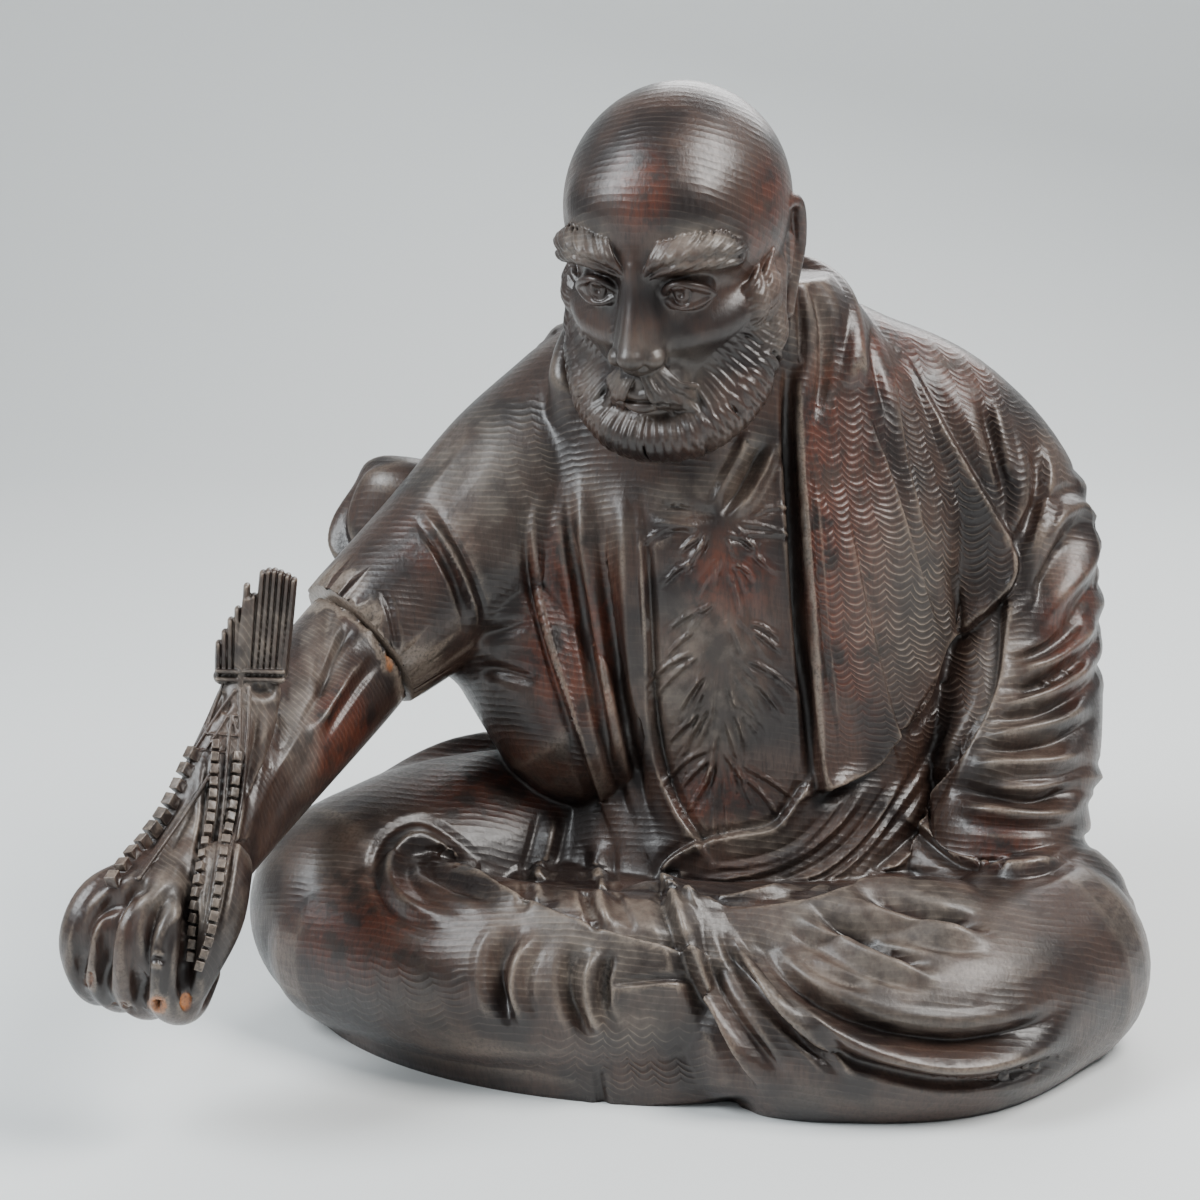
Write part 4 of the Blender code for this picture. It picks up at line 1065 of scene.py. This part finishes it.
# patches of the front drawing: middle and half sizes in pixels, and strength
redWood = (  # where the stain has worn to red brown
    ((850, 560), (60, 230), 0.8),
    ((825, 480), (30, 200), 0.9),
    ((890, 350), (60, 70), 0.7),
    ((960, 350), (70, 90), 0.6),
    ((730, 580), (60, 60), 0.6),
    ((560, 620), (55, 140), 0.8),
    ((600, 640), (30, 120), 0.7),
    ((720, 800), (60, 40), 0.6),
    ((640, 190), (40, 60), 0.7),
    ((775, 220), (40, 90), 0.6),
    ((360, 930), (90, 80), 0.7),
    ((500, 780), (110, 60), 0.5),
    ((340, 740), (50, 80), 0.8),
    ((440, 540), (60, 60), 0.4),
    ((1070, 620), (40, 110), 0.6),
    ((1000, 840), (60, 40), 0.5),
)
dustAndSheenPatches = (  # where dust and wear have left the wood grey and pale, and painted sheen where the light falls broadly on the shoulder, sleeve, chest, forearm, knee and thigh
    ((640, 920), (90, 60), 0.7),
    ((800, 960), (170, 90), 0.55),
    ((900, 930), (150, 70), 0.5),
    ((700, 680), (80, 110), 0.8),
    ((740, 470), (50, 60), 0.7),
    ((680, 500), (50, 30), 0.6),
    ((250, 700), (60, 80), 0.8),
    ((322, 650), (30, 60), 1.0),
    ((302, 730), (28, 80), 0.9),
    ((165, 895), (50, 40), 0.7),
    ((200, 860), (50, 110), 0.8),
    ((1010, 720), (60, 110), 0.6),
    ((697, 250), (62, 38), 1.0),
    ((585, 243), (38, 34), 1.0),
    ((255, 620), (56, 66), 0.9),
    ((880, 940), (190, 100), 1.0),
    ((345, 880), (50, 40), 0.5),
    ((745, 836), (70, 26), 0.9),
    ((640, 912), (46, 30), 0.9),
    ((1000, 660), (40, 60), 0.7),
    ((560, 940), (130, 80), 0.85),
    ((820, 330), (20, 70), 0.8),
    ((590, 520), (60, 70), 0.5),
    ((485, 485), (95, 105), 1.0),
    ((640, 385), (110, 70), 0.6),
    ((780, 300), (36, 90), 0.6),
    ((900, 600), (80, 130), 0.6),
    ((1060, 430), (30, 70), 0.5),
    ((1056, 560), (40, 50), 0.6),
    ((940, 1010), (110, 40), 0.4),
    ((620, 1010), (90, 50), 0.6),
)
rowedWood = (  # where columns of gouge marks stand out
    ((930, 570), (120, 250), 1.0),
    ((850, 560), (60, 250), 0.9),
    ((960, 400), (90, 120), 0.8),
    ((1030, 480), (50, 100), 0.5),
    ((1000, 700), (60, 60), 0.3),
    ((620, 1060), (130, 60), 0.7),
    ((400, 1010), (120, 70), 0.5),
    ((540, 450), (70, 100), 0.3),
)
plainWood = (  # where the skin is smooth, with no gouge marks
    ((722, 640), (110, 230), 1.0),
    ((660, 340), (150, 170), 1.0),
    ((640, 640), (40, 240), 0.7),
    ((1056, 680), (70, 150), 0.7),
    ((640, 890), (110, 60), 1.0),
    ((880, 950), (180, 90), 0.7),
    ((140, 960), (110, 110), 0.9),
)


def finishSkin(thing, passes):
    markRelief(thing, passes)
    keepLayer(thing, "red", patches(thing, redWood))
    # the pale layer holds dust, tan cloth and painted sheen
    keepLayer(thing, "pale", patches(thing, dustAndSheenPatches))
    gouged = 0.3 + 0.7 * patches(thing, rowedWood) - 0.3 * patches(thing, plainWood)
    keepLayer(thing, "rows", np.clip(gouged, 0, 1))
    thing.data.transform(Matrix.Scale(square, 4))
    thing.data.polygons.foreach_set("use_smooth", [True] * len(thing.data.polygons))
    thing.data.update()


def dressFigure():
    figure = buildBody()
    print("body carved")
    headThing = thinTo(buildHead(), head["triangles"])
    print("head carved")
    join(figure, headThing)
    figure.name = "carvedFigure"
    sliceOff(figure, Vector((0, 0, 0)), Vector((0, 0, -1)))
    sliceOff(figure, forearm["jointCentre"], forearm["jointOutward"], forearm["jointReach"])
    wearRim(figure, forearm["jointCentre"], forearm["jointOutward"])
    finishSkin(figure, reliefs["figure"])
    return figure


def dressForearm():
    arm = buildForearm()
    arm.name = "carvedForearm"
    start = forearm["jointCentre"] + forearm["jointOutward"] * (forearm["jointGap"] / square)
    sliceOff(arm, start, -forearm["jointOutward"])
    wearRim(arm, start, -forearm["jointOutward"])
    finishSkin(arm, reliefs["forearm"])
    print("forearm carved")
    return arm


# The wood: dark stain, rippled gouge marks, worn crests and dust in the hollows, with painted sheen on the
# pale patches and painted shade in the broad hollows
wood = {
    "dark": (0.012, 0.007, 0.006),
    "brown": (0.046, 0.025, 0.018),
    "red": (0.115, 0.027, 0.012),
    "pale": (0.300, 0.240, 0.190),
    # a grey tan, for the dust in the hollows and for painted sheen on the pale patches
    "dustAndSheen": (0.185, 0.152, 0.124),
    "fresh": (0.420, 0.150, 0.040),
    "rowPitch": 0.7,  # squares from one gouge mark to the next below it
    "columnPitch": 2.5,  # squares from one column of marks to the next
    "arc": 0.75,  # squares that a mark's middle hangs below its ends
    "rowHeight": 0.00030,  # metres
    "grainHeight": 0.00012,
    "gloss": 0.30,  # the least roughness
    "coat": 0.18,
    "coatRoughness": 0.2,
}


class Sheet:
    # a material's nodes, wired by short calls
    def __init__(self, name):
        self.material = bpy.data.materials.new(name)
        self.material.use_nodes = True
        self.tree = self.material.node_tree
        self.shader = self.tree.nodes["Principled BSDF"]

    def node(self, kind, **values):
        made = self.tree.nodes.new(kind)
        for name, value in values.items():
            setattr(made, name, value)
        return made

    def plug(self, socket, value):
        if isinstance(value, bpy.types.NodeSocket):
            self.tree.links.new(value, socket)
        else:
            socket.default_value = value

    def maths(self, operation, a, b=0.0, clamp=False):
        made = self.node("ShaderNodeMath", operation=operation, use_clamp=clamp)
        for socket, value in zip(made.inputs, (a, b)):
            self.plug(socket, value)
        return made.outputs[0]

    def dot(self, vector, direction):
        made = self.node("ShaderNodeVectorMath", operation="DOT_PRODUCT")
        self.plug(made.inputs[0], vector)
        made.inputs[1].default_value = direction
        return made.outputs["Value"]

    def scaled(self, vector, sizes):
        made = self.node("ShaderNodeMapping")
        self.plug(made.inputs["Vector"], vector)
        made.inputs["Scale"].default_value = sizes
        return made.outputs[0]

    def noise(self, vector, scale, detail=3.0, rough=0.5):
        made = self.node("ShaderNodeTexNoise")
        self.plug(made.inputs["Vector"], vector)
        made.inputs["Scale"].default_value = scale
        made.inputs["Detail"].default_value = detail
        made.inputs["Roughness"].default_value = rough
        return made.outputs["Fac"]

    def layer(self, name):
        return self.node("ShaderNodeAttribute", attribute_name=name).outputs["Fac"]

    def between(self, value, low, high, first=0.0, last=1.0):
        made = self.node("ShaderNodeMapRange", interpolation_type="SMOOTHSTEP")
        puts = {"Value": value, "From Min": low, "From Max": high, "To Min": first, "To Max": last}
        for name, put in puts.items():
            self.plug(made.inputs[name], put)
        return made.outputs[0]

    def mix(self, share, a, b):
        made = self.node("ShaderNodeMix", data_type="RGBA")
        self.plug(made.inputs["Factor"], share)
        for socket, value in (("A", a), ("B", b)):
            target = [s for s in made.inputs if s.name == socket and s.type == "RGBA"][0]
            self.plug(target, value if isinstance(value, bpy.types.NodeSocket) else (*value, 1.0))
        return [s for s in made.outputs if s.type == "RGBA"][0]

    def bump(self, height, distance, normal=None):
        made = self.node("ShaderNodeBump")
        self.plug(made.inputs["Height"], height)
        made.inputs["Distance"].default_value = distance
        if normal is not None:
            self.plug(made.inputs["Normal"], normal)
        return made.outputs[0]


def makeWood(name, lean, ripple):
    # lean: the way from one gouge mark to the next, in squares; ripple: how deep the marks are
    sheet = Sheet(name)
    place = sheet.scaled(sheet.node("ShaderNodeTexCoord").outputs["Object"], (1 / square,) * 3)
    drift = sheet.noise(place, 0.06, 1.0)
    sway = sheet.noise(place, 0.35, 2.0)
    patch = sheet.noise(place, 0.16, 3.0)
    blotch = sheet.noise(place, 0.45, 4.0, 0.6)
    fibre = sheet.noise(sheet.scaled(place, (1.0, 1.0, 0.16)), 3.4, 5.0, 0.65)
    speck = sheet.noise(place, 3.5, 4.0, 0.6)
    near, far = sheet.layer("nearRelief"), sheet.layer("farRelief")
    # pale: patches of dust, tan cloth and painted sheen
    pale, rows = sheet.layer("pale"), sheet.layer("rows")

    # columns of shallow arcs side by side, with a sharp crest between one mark and the next
    pitch = wood["columnPitch"]
    column = sheet.dot(place, (1 / pitch, 0.3 / pitch, 0.12 / pitch))
    column = sheet.maths("ADD", column, sheet.maths("MULTIPLY", drift, 2.0))
    column = sheet.maths("ADD", column, sheet.maths("MULTIPLY", sway, 0.5))
    arc = sheet.maths("ABSOLUTE", sheet.maths("SINE", sheet.maths("MULTIPLY", column, math.pi)))
    phase = sheet.maths("ADD", sheet.dot(place, lean), sheet.maths("MULTIPLY", drift, 4.0))
    phase = sheet.maths("ADD", phase, sheet.maths("MULTIPLY", sway, 0.5))
    hang = sheet.maths("MULTIPLY", sheet.between(rows, 0.25, 0.8), wood["arc"])
    phase = sheet.maths("ADD", phase, sheet.maths("MULTIPLY", arc, hang))
    # each column keeps a start of its own
    start = sheet.node("ShaderNodeTexWhiteNoise", noise_dimensions="1D")
    sheet.plug(start.inputs["W"], sheet.maths("FLOOR", column))
    offset = sheet.maths("MULTIPLY", start.outputs["Value"], 0.3)
    phase = sheet.maths("ADD", phase, sheet.maths("MULTIPLY", offset, hang))
    wave = sheet.maths("SINE", sheet.maths("MULTIPLY", phase, math.pi / wood["rowPitch"]))
    crest = sheet.maths("SUBTRACT", 1.0, sheet.maths("ABSOLUTE", wave))
    calm = sheet.between(sheet.maths("ABSOLUTE", near), 0.3, 1.2, 1.0, 0.3)
    strength = sheet.maths("MULTIPLY", calm, sheet.between(blotch, 0.38, 0.6, 0.25, 1.0))
    strength = sheet.maths("MULTIPLY", strength, rows)

    colour = sheet.mix(sheet.between(patch, 0.38, 0.62), wood["dark"], wood["brown"])
    redness = sheet.maths("MULTIPLY", sheet.layer("red"), sheet.between(blotch, 0.36, 0.58))
    colour = sheet.mix(sheet.maths("MULTIPLY", redness, 0.85), colour, wood["red"])
    colour = sheet.mix(sheet.between(fibre, 0.42, 0.68, 0.0, 0.6), colour, wood["dark"])
    # painted sheen and dust: the pale patches turn grey tan
    dustAndSheenShare = sheet.maths("MULTIPLY", pale, sheet.between(blotch, 0.35, 0.7, 0.14, 0.62))
    colour = sheet.mix(dustAndSheenShare, colour, wood["dustAndSheen"])
    scoop = sheet.maths("MULTIPLY", sheet.between(crest, 0.05, 0.5, 0.55, 0.0), strength)
    colour = sheet.mix(scoop, colour, wood["dark"])
    # worn crests turn pale, more so inside the pale patches, where this is partly painted sheen
    ridge = sheet.maths("MULTIPLY", sheet.between(crest, 0.55, 0.95), strength)
    ridge = sheet.maths("MULTIPLY", ridge, sheet.maths("ADD", sheet.maths("MULTIPLY", pale, 0.6), 0.24))
    colour = sheet.mix(ridge, colour, wood["pale"])
    worn = sheet.maths("MULTIPLY", sheet.between(near, 0.45, 1.5), sheet.between(speck, 0.3, 0.6, 0.35, 1.0))
    height = sheet.dot(place, (0.0, 0.0, 1.0))
    worn = sheet.maths("MULTIPLY", worn, sheet.between(height, 1.0, 4.0))  # not where the base was sawn flat
    colour = sheet.mix(sheet.maths("MULTIPLY", worn, 0.5), colour, wood["pale"])
    hollow = sheet.between(sheet.maths("MULTIPLY", near, -1.0), 0.3, 1.1)
    dusty = sheet.maths("MULTIPLY", hollow, sheet.between(speck, 0.4, 0.6))
    dusty = sheet.maths("MULTIPLY", dusty, sheet.maths("ADD", sheet.maths("MULTIPLY", pale, 0.6), 0.1))
    colour = sheet.mix(dusty, colour, wood["dustAndSheen"])
    # painted shade: the broad hollows between the folds, found from the far relief, are darkened toward the
    # dark stain
    deep = sheet.between(sheet.maths("MULTIPLY", far, -1.0), 0.5, 1.5, 0.0, 0.75)
    colour = sheet.mix(deep, colour, wood["dark"])
    fresh = sheet.maths("MULTIPLY", sheet.layer("fresh"), sheet.between(speck, 0.3, 0.6, 0.4, 1.0))
    colour = sheet.mix(fresh, colour, wood["fresh"])

    rough = sheet.maths("ADD", wood["gloss"], sheet.maths("MULTIPLY", dusty, 0.4))
    rough = sheet.maths("ADD", rough, sheet.between(fibre, 0.3, 0.7, 0.0, 0.14))
    rough = sheet.maths("ADD", rough, sheet.maths("MULTIPLY", pale, 0.14), clamp=True)
    normal = sheet.bump(sheet.maths("MULTIPLY", crest, strength), wood["rowHeight"] * ripple)
    normal = sheet.bump(fibre, wood["grainHeight"], normal)
    sheet.plug(sheet.shader.inputs["Base Color"], colour)
    sheet.plug(sheet.shader.inputs["Roughness"], rough)
    sheet.plug(sheet.shader.inputs["Normal"], normal)
    sheet.shader.inputs["Specular IOR Level"].default_value = 0.5
    sheet.shader.inputs["Coat Weight"].default_value = wood["coat"]
    sheet.shader.inputs["Coat Roughness"].default_value = wood["coatRoughness"]
    return sheet.material


# The stage: a pale sheet that curves up behind the figure, soft lights, and the photograph's eye
stage = {
    "colour": (0.75, 0.77, 0.77),
    "floorDepth": 1.2,  # metres in front of the figure
    "bendStart": 0.84,  # metres behind it
    "bend": 0.5,
    "height": 2.2,
    "halfWidth": 2.5,
    "worldColour": (0.80, 0.86, 0.90),
    "worldStrength": 0.42,
}
lights = (  # name, place and target in metres, size, power, colour
    ("keyLight", (0.55, -0.35, 0.95), (0.0, 0.0, 0.15), (0.5, 0.5), 16.0, (1.0, 0.98, 0.95)),
    ("sideLight", (-0.75, -0.35, 0.75), (-0.05, 0.0, 0.16), (0.4, 0.6), 12.5, (0.92, 0.97, 1.0)),
    ("backLight", (0.25, 0.85, 0.75), (0.0, 0.0, 0.16), (0.7, 0.5), 7.0, (1.0, 1.0, 1.0)),
)


def makeStage():
    bm = bmesh.new()
    profile = [(-stage["floorDepth"], 0.0)]
    for degrees in range(0, 91, 10):
        a = math.radians(degrees)
        back = stage["bendStart"] + stage["bend"] * math.sin(a)
        profile.append((back, stage["bend"] * (1 - math.cos(a))))
    profile.append((profile[-1][0], stage["height"]))
    rows = []
    for y, z in profile:
        rows.append([bm.verts.new((sign * stage["halfWidth"], y, z)) for sign in (-1, 1)])
    for low, high in zip(rows, rows[1:]):
        bm.faces.new((low[0], low[1], high[1], high[0]))
    floor = asThing("backdrop", bm)
    floor.data.polygons.foreach_set("use_smooth", [True] * len(floor.data.polygons))
    sheet = Sheet("backdropPaint")
    sheet.shader.inputs["Base Color"].default_value = (*stage["colour"], 1.0)
    sheet.shader.inputs["Roughness"].default_value = 0.6
    floor.data.materials.append(sheet.material)


def makeLights():
    for name, place, target, size, power, colour in lights:
        light = bpy.data.lights.new(name, "AREA")
        light.shape = "RECTANGLE"
        light.size, light.size_y = size
        light.energy = power
        light.color = colour
        thing = bpy.data.objects.new(name, light)
        thing.location = place
        thing.rotation_euler = (Vector(target) - Vector(place)).to_track_quat("-Z", "Y").to_euler()
        bpy.context.scene.collection.objects.link(thing)
    world = bpy.data.worlds.new("studio")
    world.use_nodes = True
    world.node_tree.nodes["Background"].inputs["Color"].default_value = (*stage["worldColour"], 1.0)
    world.node_tree.nodes["Background"].inputs["Strength"].default_value = stage["worldStrength"]
    bpy.context.scene.world = world


def makeCamera():
    data = bpy.data.cameras.new("photoEye")
    data.sensor_width = 36.0
    data.lens = data.sensor_width * drawing["pixelsPerSquare"] * drawing["distance"] / drawing["side"]
    data.clip_start = 0.05
    camera = bpy.data.objects.new("photoEye", data)
    rise = drawing["rise"]
    back = Vector((0, -math.cos(rise), math.sin(rise)))
    camera.location = (Vector(drawing["aim"]) + back * drawing["distance"]) * square
    camera.rotation_euler = (math.radians(90) - rise, 0, 0)
    bpy.context.scene.collection.objects.link(camera)
    bpy.context.scene.camera = camera


# the gouge marks follow each other down the figure, and along the forearm
for maker, covers, lean, ripple in (
    (dressFigure, "seated_figure", (0.10, 0.45, 1.0), 1.0),
    (dressForearm, "outstretched_forearm", (0.88, 0.85, 0.64), 0.6),
):
    piece = maker()
    piece.data.materials.clear()
    piece.data.materials.append(makeWood(piece.name + "Wood", lean, ripple))
    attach(piece, "root")
    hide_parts(covers)
    print(piece.name, "is", len(piece.data.polygons), "faces")

makeStage()
makeLights()
makeCamera()
print("stage set")
